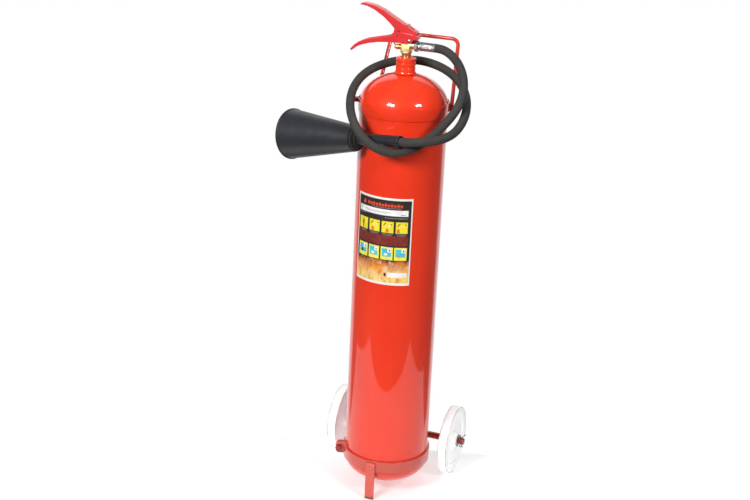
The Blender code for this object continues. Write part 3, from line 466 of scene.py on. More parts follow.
def smooth_curve(points, step):
    """Even points along the natural cubic spline through the given ones."""
    knots = np.array(points, dtype=float)
    chord = np.concatenate([[0.0], np.cumsum(np.linalg.norm(np.diff(knots, axis=0), axis=1))])
    count = len(knots)
    gap = np.diff(chord)
    system = np.zeros((count, count))
    right = np.zeros((count, 3))
    system[0, 0] = system[-1, -1] = 1.0
    for i in range(1, count - 1):
        system[i, i - 1:i + 2] = gap[i - 1], 2 * (gap[i - 1] + gap[i]), gap[i]
        right[i] = 6 * ((knots[i + 1] - knots[i]) / gap[i] - (knots[i] - knots[i - 1]) / gap[i - 1])
    bend = np.linalg.solve(system, right)

    def point(station):
        i = min(int(np.searchsorted(chord, station, side="right")) - 1, count - 2)
        before = station - chord[i]
        after = chord[i + 1] - station
        width = gap[i]
        return (bend[i] * after ** 3 + bend[i + 1] * before ** 3) / (6 * width) \
            + (knots[i] / width - bend[i] * width / 6) * after \
            + (knots[i + 1] / width - bend[i + 1] * width / 6) * before

    dense = np.array([point(s) for s in np.linspace(0.0, chord[-1], 2400)])
    run = np.concatenate([[0.0], np.cumsum(np.linalg.norm(np.diff(dense, axis=0), axis=1))])
    stations = np.linspace(0.0, run[-1], int(round(run[-1] / step)) + 1)
    return [Vector([float(np.interp(s, run, dense[:, k])) for k in range(3)]) for s in stations]


def rounded_path(corners, radius, steps=10):
    """A path of straight runs whose inner corners are rounded by arcs."""
    path = [Vector(corners[0])]
    for before, here, after in zip(corners, corners[1:], corners[2:]):
        here = Vector(here)
        back = (Vector(before) - here).normalized()
        ahead = (Vector(after) - here).normalized()
        half = back.angle(ahead) / 2
        reach = radius / math.tan(half)
        centre = here + (back + ahead).normalized() * (radius / math.sin(half))
        start = (here + back * reach - centre).normalized()
        end = (here + ahead * reach - centre).normalized()
        for i in range(steps + 1):
            path.append(centre + start.slerp(end, i / steps) * radius)
    path.append(Vector(corners[-1]))
    return path


# ---------------------------------------------------------------- hose

HOSE_D = 17.4
HOSE_ROUTE = [  # mm from the cylinder's axis, as in the CAD model
    (61.0, 0.0, 972.2), (76.0, -1.0, 970.8), (93.0, -5.0, 964.5), (109.0, -11.0, 953.0),
    (121.5, -17.5, 937.5), (130.0, -25.0, 918.0), (132.8, -34.5, 896.0), (129.0, -46.5, 873.5),
    (119.0, -61.5, 852.0), (105.0, -78.0, 832.0), (87.5, -95.0, 812.5), (65.0, -113.0, 796.5),
    (38.0, -129.5, 787.2), (8.0, -141.0, 790.0), (-21.0, -143.5, 804.0), (-48.0, -131.0, 823.0),
    (-70.5, -107.0, 843.0), (-86.5, -75.5, 862.5), (-93.5, -43.0, 881.0), (-90.0, -12.0, 898.5),
    (-76.0, 16.0, 912.5), (-52.0, 38.0, 923.0), (-21.0, 53.0, 929.5), (12.0, 59.0, 930.5),
    (45.0, 57.0, 926.0), (76.0, 48.0, 917.0), (103.0, 33.0, 903.0), (124.0, 12.0, 884.5),
    (136.5, -15.0, 862.5), (139.5, -46.0, 843.5), (134.0, -80.0, 828.0), (118.0, -111.5, 820.0),
    (91.0, -132.0, 816.0), (67.0, -136.6, 813.2), (44.0, -133.0, 810.0), (24.2, -126.6, 807.1),
    (4.4, -120.1, 804.2),
]


def hose_centreline(step):
    return [at(*p) for p in smooth_curve(HOSE_ROUTE, step)]


def make_hose():
    line = hose_centreline(4.0)
    hose = tube("hose", line, HOSE_D / 2, HOSE, sides=28, uv=True)
    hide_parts("discharge_hose")


# ---------------------------------------------------------------- cylinder and neck

def ellipse_arc(width, height, base, start_deg, end_deg, count):
    angles = [math.radians(start_deg + (end_deg - start_deg) * i / (count - 1)) for i in range(count)]
    return [(abs(width * math.cos(a)), base + height * math.sin(a)) for a in angles]


BASE_Z = 64.0
SHOULDER_Z = 852.0
NECK_Z = 916.0
NECK_R = 14.0


def make_cylinder():
    floor_z = CYL_LOW.z / MM
    neck_deg = math.degrees(math.acos(NECK_R / CYL_R))
    profile = [(0.0, NECK_TOP - 6.0), (9.8, NECK_TOP - 6.0), (10.0, NECK_TOP - 0.4), (10.4, NECK_TOP),
               (NECK_R - 0.4, NECK_TOP), (NECK_R, NECK_TOP - 0.4)]
    profile += ellipse_arc(CYL_R, NECK_Z - SHOULDER_Z, SHOULDER_Z, neck_deg, 0, 40)
    profile += [(CYL_R, z) for z in np.linspace(SHOULDER_Z - 12, BASE_Z + 12, 40)]
    profile += ellipse_arc(CYL_R, BASE_Z - floor_z, BASE_Z, 0, -90, 28)[:-1]
    profile.append((0.0, floor_z))

    def dents(i, angle, radius):
        """The drawn tube isn't perfectly true: waves of a tenth of a millimetre."""
        if radius < 0.98 * CYL_R:
            return radius
        height = profile[i][1]
        spot = Vector((math.cos(angle) * 1.6, math.sin(angle) * 1.6, height * 0.012))
        return radius - 0.05 + 0.05 * noise.noise(spot)

    skin = lathe("cylinder_skin", profile, Matrix.Translation(at(0, 0, 0)), RED, steps=160,
                 closed=False, ripple=dents)
    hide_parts("cylinder_shell")


def make_neck_ring():
    low, high = span("neck_ring")
    outer = (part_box("neck_ring")[1].x - CYL.x) / MM
    body = outer - 3.0  # the foot flares out by this much
    groove = body - 0.6
    profile = [(body - 1.2, high), (body, high - 1.0), (body, high - 6.5), (groove, high - 7.2),
               (groove, high - 9.8), (body, high - 10.5), (body, high - 15.0), (groove, high - 15.7),
               (groove, high - 18.3), (body, high - 19.0), (body, low + 4.5), (body + 0.8, low + 2.2),
               (outer, low), (NECK_R + 0.3, low + 0.8), (NECK_R + 0.3, high)]
    place = Matrix.Translation(at(0, 0, 0))
    ring = lathe("neck_ring_skin", rounded(profile, 0.7, 3), place, RED, steps=96)
    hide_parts("neck_ring")


# ---------------------------------------------------------------- valve, levers, pins

def make_valve():
    for node, bevel in (("valve_body", 0.35), ("gland_nut", 0.4), ("safety_plug", 0.35)):
        refined(node, BRASS, BODY_OF[node], bevel)
    for node, bevel in (("operating_lever", 0.45), ("carrying_handle", 0.45)):
        refined(node, LEVER_RED, BODY_OF[node], bevel, segments=3)
    for node in ("lever_pivot_pin", "safety_pin"):
        refined(node, ZINC, BODY_OF[node], 0.12)
    refined("union_nut", SATIN, BODY_OF["union_nut"], 0.5)
    for node, look in (("valve_stem", ZINC), ("poppet_seal", SEAL), ("stem_spring", ZINC),
                       ("spring_retainer", BRASS), ("gland_packing", SEAL), ("burst_disc", CHROME),
                       ("union_washer", SEAL), ("hose_tail", CHROME), ("dip_tube", ZINC)):
        dress(node, look)


def dress(node, look):
    """A CAD node kept as it is, with a better material."""
    mesh = frame["nodes"][node].data
    mesh.materials.clear()
    mesh.materials.append(look)


def make_pin_ring():
    low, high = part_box("safety_pin_ring")
    centre = (low + high) / 2
    wire = (high.y - low.y) / 2
    radius = (high.z - low.z) / 2 - wire
    rows = 72
    sides = 14
    points = []
    for i in range(rows):
        turn = 2 * math.pi * i / rows
        for j in range(sides):
            angle = 2 * math.pi * j / sides
            reach = radius + wire * math.cos(angle)
            out = Vector((math.sin(turn) * reach, wire * math.sin(angle), math.cos(turn) * reach))
            points.append(centre + out)
    ring = piece("pull_ring", points, grid_faces(rows, sides, wrap_rows=True), ZINC, "ring")
    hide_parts("safety_pin_ring")


def make_ferrule():
    """Crimped sleeve with lengthwise grooves along its middle."""
    low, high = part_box("hose_ferrule")
    radius = (high.z - low.z) / 2 / MM
    length = (high.x - low.x) / MM
    place = along(Vector((low.x, (low.y + high.y) / 2, (low.z + high.z) / 2)),
                  Vector((high.x, (low.y + high.y) / 2, (low.z + high.z) / 2)))
    inner = 4.1
    flats = 12
    outline = [(inner, 0.0), (radius - 0.9, 0.0), (radius - 0.2, 0.5), (radius, 1.2), (radius, 4.6),
               (radius - 0.7, 5.6), (radius - 0.5, 7.5)]
    outline += [(radius - 0.4, z) for z in np.linspace(9.0, length - 6.5, 8)]
    outline += [(radius - 0.7, length - 5.2), (radius - 0.3, length - 4.0), (radius - 0.3, length - 0.8),
                (radius - 0.8, length), (inner, length)]

    def crimp(i, angle, r):
        height = outline[i][1]
        if r < radius - 1.5 or height < 6.0 or height > length - 5.5:
            return r
        wave = abs(math.sin(angle * flats / 2))
        return r - 0.35 * (1 - wave) ** 2

    sleeve = lathe("ferrule_sleeve", outline, place, SATIN, steps=144, ripple=crimp)
    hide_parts("hose_ferrule")


# ---------------------------------------------------------------- horn

HORN_YAW = math.radians(162.0)
HORN_DIP = math.radians(8.0)
GRIP_END = at(44.0, -133.0, 810.0)
GRIP_LENGTH = 105.0
HORN_LENGTH = 170.0
HORN_BASE_R = 26.0
HORN_MOUTH_R = 51.0
HORN_WALL = 2.5
GRIP_R = 12.0
GRIP_BORE_R = 9.9
SOCKET_R = 7.2  # the flange's bore, over the nipple


def horn_frame():
    heading = Matrix.Rotation(HORN_YAW, 4, "Z")
    level = Matrix.Rotation(math.pi / 2 + HORN_DIP, 4, "Y")
    return Matrix.Translation(GRIP_END) @ heading @ level


def make_horn():
    place = horn_frame()
    grip = [(GRIP_R - 0.5, 0.0), (GRIP_R + 0.3, 0.5), (GRIP_R + 0.3, 3.2), (GRIP_R - 0.1, 4.2),
            (GRIP_R, 8.0), (GRIP_R, 60.0), (GRIP_R, GRIP_LENGTH - 1.0), (GRIP_R - 1.0, GRIP_LENGTH),
            (GRIP_BORE_R, GRIP_LENGTH), (GRIP_BORE_R, 60.0), (GRIP_BORE_R, 1.0), (GRIP_BORE_R + 0.5, 0.0)]
    sleeve = lathe("grip_sleeve", rounded(grip, 0.6, 3), place, GRIP, steps=72)
    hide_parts("horn_grip")

    start = GRIP_LENGTH + 0.3
    flange = [(SOCKET_R, start), (15.0, start), (16.5, start + 1.6), (21.5, start + 1.6),
              (24.5, start + 3.6), (24.5, start + 7.5), (SOCKET_R, start + 7.5)]
    collar = lathe("flange_collar", rounded(flange, 0.9, 4), place, SEAL, steps=96)
    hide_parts("horn_flange")

    base = start + 7.8
    mouth = base + HORN_LENGTH
    base_r = HORN_BASE_R
    mouth_r = HORN_MOUTH_R
    wall = HORN_WALL
    outer = [(7.4, base), (base_r - 1.2, base), (base_r, base + 1.0), (base_r + 0.6, base + 5.0)]
    for i in range(1, 12):
        t = i / 12
        outer.append((base_r + (mouth_r - base_r) * t, base + 1.0 + (mouth - 4.0 - base) * t))
    outer += [(mouth_r - 0.2, mouth - 3.4), (mouth_r + 1.2, mouth - 2.8), (mouth_r + 1.2, mouth - 0.4),
              (mouth_r + 0.6, mouth), (mouth_r - wall + 0.4, mouth), (mouth_r - wall, mouth - 0.6)]
    inner = [(base_r - wall + (mouth_r - base_r) * (1 - i / 10), mouth - (mouth - base - 3.0) * i / 10)
             for i in range(1, 11)]
    cone = lathe("horn_shell", outer + inner + [(7.4, base + 3.0)], place, HORN, steps=128)
    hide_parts("horn_cone")
    dress("horn_nipple", ZINC)
    refined("horn_diffuser", BRASS)


# ---------------------------------------------------------------- bands, handle, leg, axle

def make_bands():
    fixings = (("_nut", 0.5), ("_bolt", 0.3), ("_washer_head", 0.15), ("_washer_nut", 0.15))
    for band, look, rounding in (("shoulder_band", RED, 0.7), ("base_band", BAND_RED, 0.8)):
        refined(band, look, "root", rounding)
        for fixing, bevel in fixings:
            refined(band + fixing, DARK_RED, "root", bevel)


ROD_R = 4.0
BAND_R = CYL_R + 0.6 + 2.0  # a band's gap to the cylinder, then its thickness
PULL_FEET = [math.radians(17.0), math.radians(143.5)]  # headings of the right and left feet


def pull_route():
    """The handle's centreline: up from the band, then leaning back over the wheels."""
    radius = BAND_R + ROD_R
    right, left = [(radius * math.cos(angle), radius * math.sin(angle)) for angle in PULL_FEET]
    low, high = span("shoulder_band")
    top_x, top_y, top_z = 72.0, 114.0, span("pull_handle")[1] - ROD_R
    return rounded_path([(*right, low + 3.0), (*right, high - 6.0), (top_x, top_y, top_z),
                         (-top_x, top_y, top_z), (*left, high - 6.0), (*left, low + 3.0)], 17.0)


def make_pull_handle():
    line = [at(*p) for p in pull_route()]
    rod = tube("pull_rod", line, ROD_R, ROD_RED, sides=24)
    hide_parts("pull_handle")


def weld_bead(name, path, radius, look):
    """A weld: a row of overlapping scales along a path, in metres."""
    line = [Vector(p) for p in path]

    def scales(run, angle):
        return 1.0 + 0.16 * math.sin(run / 0.0011) + 0.08 * math.sin(angle * 3 + run * 900)

    fine = []
    for a, b in zip(line, line[1:]):
        count = max(2, int((b - a).length / 0.0005))
        fine += [a.lerp(b, k / count) for k in range(count)]
    fine.append(line[-1])
    tube(name, fine, radius, look, sides=10, ripple=scales)


def make_welds():
    low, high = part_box("front_leg")
    band_low, band_high = span("base_band")
    for side, x in (("left", low.x), ("right", high.x)):
        run = [(x, high.y - 0.0004, z * MM) for z in (band_low + 1.0, band_high - 5.0)]
        weld_bead("leg_weld_" + side, run, 1.3, BAND_RED)
    line = pull_route()
    band_low, band_high = span("shoulder_band")
    for side, foot in (("left", line[-1]), ("right", line[0])):
        foot = Vector((foot[0], foot[1], 0.0))
        reach = foot.normalized()
        edge = Vector((-reach.y, reach.x, 0.0))
        for label, shift in (("front", -1), ("back", 1)):
            start = foot - reach * (ROD_R - 0.7) + edge * (2.4 * shift)
            run = [at(start.x, start.y, z) for z in (band_low + 5.0, band_high - 4.0)]
            weld_bead(f"handle_weld_{side}_{label}", run, 1.2, RED)


def make_leg_and_axle():
    refined("front_leg", LEG, "root", 0.9, 3)
    refined("axle", DARK_RED, "root", 0.0)
    for node in ("axle_bracket_left", "axle_bracket_right"):
        refined(node, BAND_RED, "root", 0.5)


# ---------------------------------------------------------------- wheels

AXLE_R = 7.5
BUSH_WALL = 1.9
GAP = 0.3  # clearance between touching pieces


def edge_line_material():
    """A thin line along the tyre's edges: brown in patches, near white between them."""
    look = Look("tyre_edge_line", (0.30, 0.17, 0.10), 0.8)
    patches = look.limits(look.noise(38.0, 4.0), 0.42, 0.56)
    look.plug(look.mix(patches, (0.95, 0.95, 0.94), (0.30, 0.17, 0.10)), "Base Color")
    return look.material


EDGE_LINE = edge_line_material()


def draw_edge_line(name, place, radius, height, body):
    """A fine brown line round a tyre's edge."""
    loop = [place @ Vector((radius * math.cos(a) * MM, radius * math.sin(a) * MM, height * MM))
            for a in np.linspace(0.0, 2 * math.pi, 145)]
    tube(name, loop, 0.45, EDGE_LINE, body, sides=6)


def make_wheel(name, side):
    low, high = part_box(name + "_tyre")
    place = Matrix.Translation((low + high) / 2) @ Matrix.Rotation(side * math.pi / 2, 4, "Y")
    radius = (high.z - low.z) / 2 / MM
    half = (high.x - low.x) / 2 / MM
    bead = 60.0
    edge = 3.5  # radius of the tread's rounded edges
    tyre = [(bead + 0.3, half - 2.0), (bead + 2.5, half - 0.3), (bead + 5.0, half)]
    tyre += [(radius - edge + edge * math.sin(a), half - edge + edge * math.cos(a))
             for a in np.linspace(0.1, math.pi / 2, 8)]
    tyre += [(radius - 0.05, 2.0), (radius - 0.05, -2.0)]
    tyre += [(radius - edge + edge * math.cos(a), edge - half - edge * math.sin(a))
             for a in np.linspace(0.0, math.pi / 2 - 0.1, 8)]
    tyre += [(bead + 5.0, -half), (bead + 2.5, 0.3 - half), (bead + 0.3, 2.0 - half)]
    rim = lathe(name + "_tread", tyre, place, TYRE, steps=144, body=name)
    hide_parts(name + "_tyre")

    for face, label in ((1, "outer"), (-1, "inner")):
        draw_edge_line(f"{name}_line_{label}", place, radius - 1.0, face * (half - 0.7), name)

    hub = half + 3.5
    bore = AXLE_R + GAP + BUSH_WALL + GAP
    centre = [(bead, half - 2.0), (bead, 2.0 - half), (bead - 4.0, 1.0 - half), (bead - 6.0, 4.0 - half),
              (22.0, 5.5 - half), (17.0, 4.0 - half), (16.0, -hub), (bore, -hub), (bore, hub), (16.0, hub),
              (17.0, half - 4.0), (22.0, half - 5.5), (bead - 6.0, half - 4.0), (bead - 4.0, half - 1.0)]
    disc = lathe(name + "_disc", rounded(centre, 1.2, 4), place, WHEEL, steps=120, body=name)
    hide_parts(name + "_centre")
    dress(name + "_bush", BUSH)
    for washer in ("_washer_inner", "_washer_outer"):
        refined(name + washer, ZINC, "root", 0.2)
    refined(name + "_cotter", OLD_STEEL, "root", 0.0, sharp_deg=60.0)


# ---------------------------------------------------------------- label

LABEL_LOW, LABEL_HIGH = span("front_label")
LABEL_MIDDLE = math.radians(-92.0)
LABEL_HALF = math.radians(40.0)
LABEL_R = CYL_R + 0.6


def on_label(u, v, lift):
    """A point of the label: u from -1 to 1 across, v from 0 to 1 upwards, lift in mm."""
    angle = LABEL_MIDDLE + u * LABEL_HALF
    height = LABEL_LOW + v * (LABEL_HIGH - LABEL_LOW)
    radius = LABEL_R + lift
    return at(radius * math.cos(angle), radius * math.sin(angle), height)


class Print:
    """All the printed patches of one ink, gathered into one piece of thin closed solids."""

    FILM = 0.05

    def __init__(self, name, look):
        self.name = name
        self.look = look
        self.points = []
        self.faces = []

    def shape(self, outline, layer):
        """A flat patch from a convex outline of (u, v), one film thick on its layer."""
        low = layer * self.FILM
        start = len(self.points)
        count = len(outline)
        for lift in (low, low + self.FILM * 0.8):
            self.points += [on_label(u, v, lift) for u, v in outline]
        self.faces.append(tuple(start + i for i in range(count)))
        self.faces.append(tuple(start + count + i for i in reversed(range(count))))
        for i in range(count):
            after = (i + 1) % count
            self.faces.append((start + i, start + after, start + count + after, start + count + i))

    def block(self, u0, u1, v0, v1, layer):
        """A rectangle cut into narrow strips, so that it follows the curve."""
        count = max(1, int(math.ceil((u1 - u0) / 0.06)))
        start = len(self.points)
        low = layer * self.FILM
        for i in range(count + 1):
            u = u0 + (u1 - u0) * i / count
            for v, lift in ((v0, low), (v1, low), (v1, low + self.FILM * 0.8), (v0, low + self.FILM * 0.8)):
                self.points.append(on_label(u, v, lift))
        for i in range(count):
            a = start + 4 * i
            b = a + 4
            self.faces += [(a + k, a + (k + 1) % 4, b + (k + 1) % 4, b + k) for k in range(4)]
        last = start + 4 * count
        self.faces += [(start + 3, start + 2, start + 1, start), (last, last + 1, last + 2, last + 3)]

    def disc(self, u, v, r, layer, count):
        tall = r * LABEL_HALF * LABEL_R / (LABEL_HIGH - LABEL_LOW)
        self.shape([(u + r * math.cos(2 * math.pi * i / count), v + tall * math.sin(2 * math.pi * i / count))
                    for i in range(count)], layer)

    def finish(self):
        piece(self.name, self.points, self.faces, self.look, "root", sharp_deg=20.0)


INSET_U = 0.955
BLACK_TOP = 0.975
FLAME_TOP = 0.284
FLAME_FOOT = 0.030
STRIP_V = (0.800, 0.868)
OPERATING_V = (0.605, 0.735)
OPERATING_U = ((-0.895, -0.515), (-0.44, -0.06), (0.01, 0.405), (0.475, 0.86))
MAROON_V = (0.462, 0.572)
CLASS_V = (0.292, 0.442)
CLASS_U = ((-0.88, -0.48), (-0.43, -0.04), (0.01, 0.42), (0.46, 0.87))


def flame_ink():
    """A printed fire: black at its top, then orange, then yellow, broken up by soft tongues."""
    look = Look("ink_flames", (0.8, 0.3, 0.05), 0.35)
    height = look.node("ShaderNodeSeparateXYZ")
    look.feed(look.place, height.inputs["Vector"])
    reach = 0.034  # how far the tongues rise and fall, in metres
    tongues = look.maths("MULTIPLY", look.noise(75.0, 5.0, stretch=(1.0, 1.0, 0.45)), reach)
    level = look.maths("SUBTRACT", height.outputs["Z"], tongues)

    def stretch(v_from, v_to):
        low, high = [(LABEL_LOW + v * (LABEL_HIGH - LABEL_LOW)) * MM - reach / 2 for v in (v_from, v_to)]
        return look.limits(level, low, high)

    tone = look.mix(stretch(FLAME_TOP, 0.245), (0.022, 0.016, 0.014), (0.62, 0.15, 0.03))
    tone = look.mix(stretch(0.245, 0.170), tone, (0.95, 0.42, 0.07))
    tone = look.mix(stretch(0.150, 0.060), tone, (0.98, 0.72, 0.16))
    streaks = look.limits(look.noise(130.0, 5.0, stretch=(1.0, 1.0, 0.5)), 0.50, 0.66, 0.0, 0.7)
    tone = look.mix(streaks, tone, (0.52, 0.15, 0.03))
    pale = look.limits(look.noise(95.0, 4.0, stretch=(1.0, 1.0, 0.7)), 0.50, 0.66, 0.0, 0.75)
    look.plug(look.mix(pale, tone, (0.86, 0.62, 0.42)), "Base Color")
    look.set(**FILM_COAT)
    return look.material


def make_label():
    """The paper and, film by film, what is printed on it: bars and plain figures, no lettering."""
    paper = Look("label_film", (0.90, 0.88, 0.84), 0.35)
    faded = paper.limits(paper.noise(40.0, 4.0), 0.3, 0.8)
    paper.plug(paper.mix(faded, (0.92, 0.90, 0.86), (0.80, 0.77, 0.72)), "Base Color")
    paper.set(**FILM_COAT)
    paper.bump(paper.noise(260.0, 3.0), 0.08, 0.0001)
    refined("front_label", paper.material, "root", 0.0)

    black = Print("label_black", print_ink("ink_black", (0.022, 0.018, 0.016), (0.035, 0.028, 0.024)))
    flame = Print("label_flames", flame_ink())
    white = Print("label_white", print_ink("ink_white", (0.97, 0.96, 0.96)))
    grey = Print("label_grey", print_ink("ink_grey", (0.40, 0.38, 0.37), (0.2, 0.2, 0.2), 420.0))
    yellow = Print("label_yellow", print_ink("ink_yellow", (0.98, 0.80, 0.04)))
    lime = Print("label_lime", print_ink("ink_lime", (0.98, 0.88, 0.10)))
    cyan = Print("label_cyan", print_ink("ink_cyan", (0.06, 0.62, 0.70)))
    maroon = Print("label_maroon", print_ink("ink_maroon", (0.20, 0.02, 0.018), (0.30, 0.04, 0.03), 200.0))
    orange = Print("label_orange", print_ink("ink_orange", (0.88, 0.20, 0.02)))
    red = Print("label_red", print_ink("ink_red", (0.75, 0.05, 0.03)))

    black.block(-INSET_U, INSET_U, FLAME_TOP, BLACK_TOP, 1)
    flame.block(-INSET_U, INSET_U, FLAME_FOOT, FLAME_TOP, 1)

    header_mark(red, orange, yellow, grey)
    white.block(-0.90, 0.86, *STRIP_V, 2)
    black.disc(-0.82, 0.838, 0.035, 3, 10)
    white.disc(-0.815, 0.838, 0.020, 4, 10)
    grey.block(-0.66, 0.30, 0.836, 0.840, 3)
    grey.block(-0.60, 0.18, 0.824, 0.827, 3)
    grey.block(0.62, 0.78, 0.812, 0.820, 3)
    grey.block(-0.90, -0.62, 0.784, 0.790, 2)
    grey.block(0.10, 0.86, 0.772, 0.779, 2)

    for i, (u0, u1) in enumerate(OPERATING_U):
        operating_tile(i, u0, u1, *OPERATING_V, yellow, black, orange, white)
        grey.block(u0 + 0.02, u1 - 0.02, 0.590, 0.595, 2)
        grey.block(u0 + 0.05, u1 - 0.06, 0.577, 0.582, 2)

    maroon.block(-0.90, 0.88, *MAROON_V, 2)
    stripe_low = MAROON_V[0] + 0.004
    stripe_high = MAROON_V[1] - 0.004
    for i in range(16):
        u = -0.88 + i * 0.045
        black.shape([(u, stripe_low), (u + 0.012, stripe_low), (u + 0.05, stripe_high),
                     (u + 0.038, stripe_high)], 3)
    for v in (0.484, 0.508, 0.532):
        black.block(0.0, 0.80 + 0.05 * math.sin(v * 90), v, v + 0.005, 3)

    for i, (u0, u1) in enumerate(CLASS_U):
        class_tile(i, u0, u1, *CLASS_V, lime, cyan, white, black, orange)

    for i in range(4):
        grey.block(-0.80, -0.40 + 0.03 * math.sin(i * 2.0), 0.228 - 0.018 * i, 0.232 - 0.018 * i, 3)
        grey.block(0.30, 0.76 + 0.03 * math.sin(i * 3.0), 0.228 - 0.018 * i, 0.232 - 0.018 * i, 3)
    white.block(0.27, 0.90, 0.092, 0.150, 3)
    black.block(0.15, 0.22, 0.102, 0.140, 3)
    for sheet in (black, flame, white, grey, yellow, lime, cyan, maroon, orange, red):
        sheet.finish()


def header_mark(red, orange, yellow, grey):
    """A plain flame beside a band of bars, where a maker would print a mark."""
    red.shape([(-0.74, 0.895), (-0.64, 0.895), (-0.61, 0.915), (-0.66, 0.950), (-0.72, 0.925)], 2)
    orange.shape([(-0.715, 0.898), (-0.655, 0.898), (-0.65, 0.912), (-0.68, 0.932)], 3)
    yellow.shape([(-0.70, 0.900), (-0.67, 0.900), (-0.68, 0.915)], 4)
    for i in range(12):
        u = -0.54 + 0.103 * i
        red.block(u, u + 0.082, 0.896, 0.936 - 0.008 * (i % 2), 2)
        orange.block(u + 0.012, u + 0.070, 0.912, 0.920, 3)
    grey.block(-0.40, 0.62, 0.882, 0.887, 2)


def above(u, v, tall, points):
    """An outline whose points lie beside u and, in parts of tall, above v."""
    return [(u + aside, v + part * tall) for aside, part in points]


def operating_tile(index, u0, u1, v0, v1, yellow, black, orange, white):
    """One operating picture: a figure, a cylinder with its hose, or a flame, on yellow."""
    yellow.block(u0, u1, v0, v1, 2)
    middle_u = (u0 + u1) / 2
    tall = v1 - v0
    if index == 0:
        legs = ((-0.025, 0.08), (0.005, 0.08), (0.02, 0.45), (-0.02, 0.45))
        trunk = ((-0.035, 0.42), (0.035, 0.42), (0.03, 0.74), (-0.03, 0.74))
        for outline in (legs, trunk):
            black.shape(above(middle_u, v0, tall, outline), 3)
        black.disc(middle_u, v0 + 0.84 * tall, 0.024, 3, 10)
        return
    fire_u = u0 + (u1 - u0) * (0.34, 0.48, 0.22)[index - 1]
    flame = ((-0.05, 0.04), (0.05, 0.04), (0.045, 0.25), (0.0, 0.48), (-0.045, 0.25))
    orange.shape(above(fire_u, v0, tall, flame), 3)
    cylinder = ((0.05, 0.60), (0.07, 0.58), (0.15, 0.86), (0.12, 0.88))
    black.shape(above(u0, v0, tall, cylinder), 3)
    black.disc(u1 - 0.07, v0 + 0.76 * tall, 0.022, 3, 8)
    white.shape([(fire_u + 0.03, v0 + 0.45 * tall), (u1 - 0.10, v0 + 0.62 * tall),
                 (u1 - 0.12, v0 + 0.74 * tall), (fire_u + 0.02, v0 + 0.55 * tall)], 3)


def class_tile(index, u0, u1, v0, v1, lime, cyan, white, black, orange):
    """One fire-class picture: a blue-green square with a white corner on a yellow card."""
    lime.block(u0, u1, v0, v1, 2)
    wide = u1 - u0
    tall = v1 - v0
    cyan.block(u0 + 0.12 * wide, u1 - 0.14 * wide, v0 + 0.26 * tall, v0 + 0.88 * tall, 3)
    white.block(u1 - 0.44 * wide, u1 - 0.12 * wide, v0 + 0.60 * tall, v0 + 0.92 * tall, 4)
    middle_u = u0 + 0.42 * wide
    if index == 0:
        ink, outline = black, ((-0.05, 0.30), (0.05, 0.30), (0.03, 0.56), (-0.03, 0.50))
    elif index == 3:
        ink, outline = orange, ((-0.04, 0.28), (0.04, 0.28), (0.0, 0.56))
    else:
        ink, outline = white, ((-0.07, 0.42), (0.0, 0.30), (0.08, 0.42), (0.0, 0.56))
    ink.shape(above(middle_u, v0, tall, outline), 4)
    black.shape([(u1 - 0.33 * wide, v0 + 0.68 * tall), (u1 - 0.20 * wide, v0 + 0.68 * tall),
                 (u1 - 0.265 * wide, v0 + 0.86 * tall)], 5)


# ---------------------------------------------------------------- stage and light

def from_camera(x, y, z):
    """A point given to the camera's right, away from the camera, and up, from the cylinder's foot."""
    turned = Matrix.Rotation(CAMERA_AZIMUTH, 4, "Z") @ Vector((x, y, z))
    return turned + Vector((CYL.x, CYL.y, 0.0))


FLOOR_Z = -0.0008  # just under the wheels
# its corners, to the camera's right and away from it
FLOOR_OUTLINE = ((-0.84, -0.48), (-0.15, -0.62), (0.15, -0.66), (0.71, -0.64), (0.71, 0.10), (-0.84, 0.22))


def make_floor():
    """A pale sheet under the object, as wide as its reflection in the enamel shows."""
    look = Look("pale_floor", (0.7, 0.7, 0.7), 0.9)
    look.plug(look.mix(look.noise(3.0, 2.0), (0.66, 0.66, 0.67), (0.62, 0.62, 0.63)), "Base Color")
    look.set(**{"Emission Color": (1.0, 1.0, 1.0, 1.0), "Emission Strength": 0.46, "Specular IOR Level": 0.0})
    corners = [from_camera(x, y, FLOOR_Z) for x, y in FLOOR_OUTLINE]
    mesh = bpy.data.meshes.new("floor")
    mesh.from_pydata([tuple(c) for c in corners], [], [tuple(range(len(corners)))])
    mesh.materials.append(look.material)
    floor = bpy.data.objects.new("floor", mesh)
    bpy.context.scene.collection.objects.link(floor)


def softbox(name, place, aim, width, height, power, glossy=True):
    data = bpy.data.lights.new(name, "AREA")
    data.shape = "RECTANGLE"
    data.size = width
    data.size_y = height
    data.energy = power
    lamp = bpy.data.objects.new(name, data)
    bpy.context.scene.collection.objects.link(lamp)
    turn = (aim - place).to_track_quat("-Z", "Y").to_matrix().to_4x4()
    lamp.matrix_world = Matrix.Translation(place) @ turn
    lamp.visible_glossy = glossy


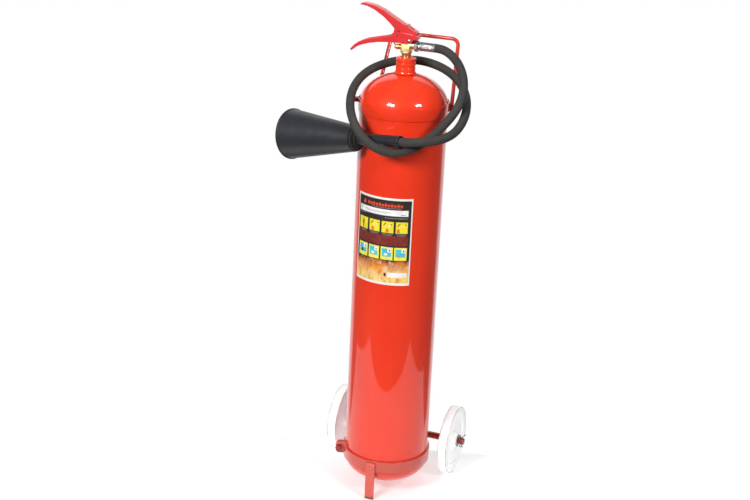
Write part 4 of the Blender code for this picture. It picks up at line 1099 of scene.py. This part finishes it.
def make_lights():
    """Two softboxes in front and a weak ceiling that no gloss shows."""
    aim = at(0, 0, 700)
    reach = 2.6

    def aside(azimuth_deg, elevation_deg):
        a = math.radians(azimuth_deg)
        e = math.radians(elevation_deg)
        return aim + Vector((math.sin(a) * math.cos(e), -math.cos(a) * math.cos(e), math.sin(e))) * reach

    softbox("key_left", aside(-16, 27), aim, 0.75, 0.55, 59.0)
    softbox("key_right", aside(60, 30), aim, 0.66, 0.48, 28.0)
    softbox("overhead", at(0, 0, 3200), at(0, 0, 0), 2.5, 2.5, 30.0, glossy=False)


def make_world():
    """White as the camera sees it; for the object, bright only behind it, as in a photo studio."""
    world = bpy.data.worlds.new("studio")
    world.use_nodes = True
    bpy.context.scene.world = world
    nodes = world.node_tree.nodes
    links = world.node_tree.links
    background = nodes["Background"]
    direction = nodes.new("ShaderNodeTexCoord").outputs["Generated"]
    ahead = nodes.new("ShaderNodeVectorMath")
    ahead.operation = "DOT_PRODUCT"
    ahead.inputs[1].default_value = (-math.sin(CAMERA_AZIMUTH), math.cos(CAMERA_AZIMUTH), -0.05)
    links.new(direction, ahead.inputs[0])
    spread = nodes.new("ShaderNodeMapRange")
    for key, number in (("From Min", 0.62), ("From Max", 0.72), ("To Min", 0.10), ("To Max", 1.0)):
        spread.inputs[key].default_value = number
    links.new(ahead.outputs["Value"], spread.inputs["Value"])
    path = nodes.new("ShaderNodeLightPath")
    pick = nodes.new("ShaderNodeMath")
    pick.operation = "MAXIMUM"
    links.new(spread.outputs["Result"], pick.inputs[0])
    links.new(path.outputs["Is Camera Ray"], pick.inputs[1])
    links.new(pick.outputs["Value"], background.inputs["Strength"])
    background.inputs["Color"].default_value = (1.0, 1.0, 1.0, 1.0)


# ---------------------------------------------------------------- assembly

add_camera()
make_hose()
make_cylinder()
make_neck_ring()
make_valve()
make_pin_ring()
make_ferrule()
make_horn()
make_bands()
make_pull_handle()
make_leg_and_axle()
make_welds()
make_wheel("wheel_left", -1)
make_wheel("wheel_right", 1)
make_label()
make_floor()
make_lights()
make_world()
bpy.context.scene.view_settings.view_transform = "Standard"
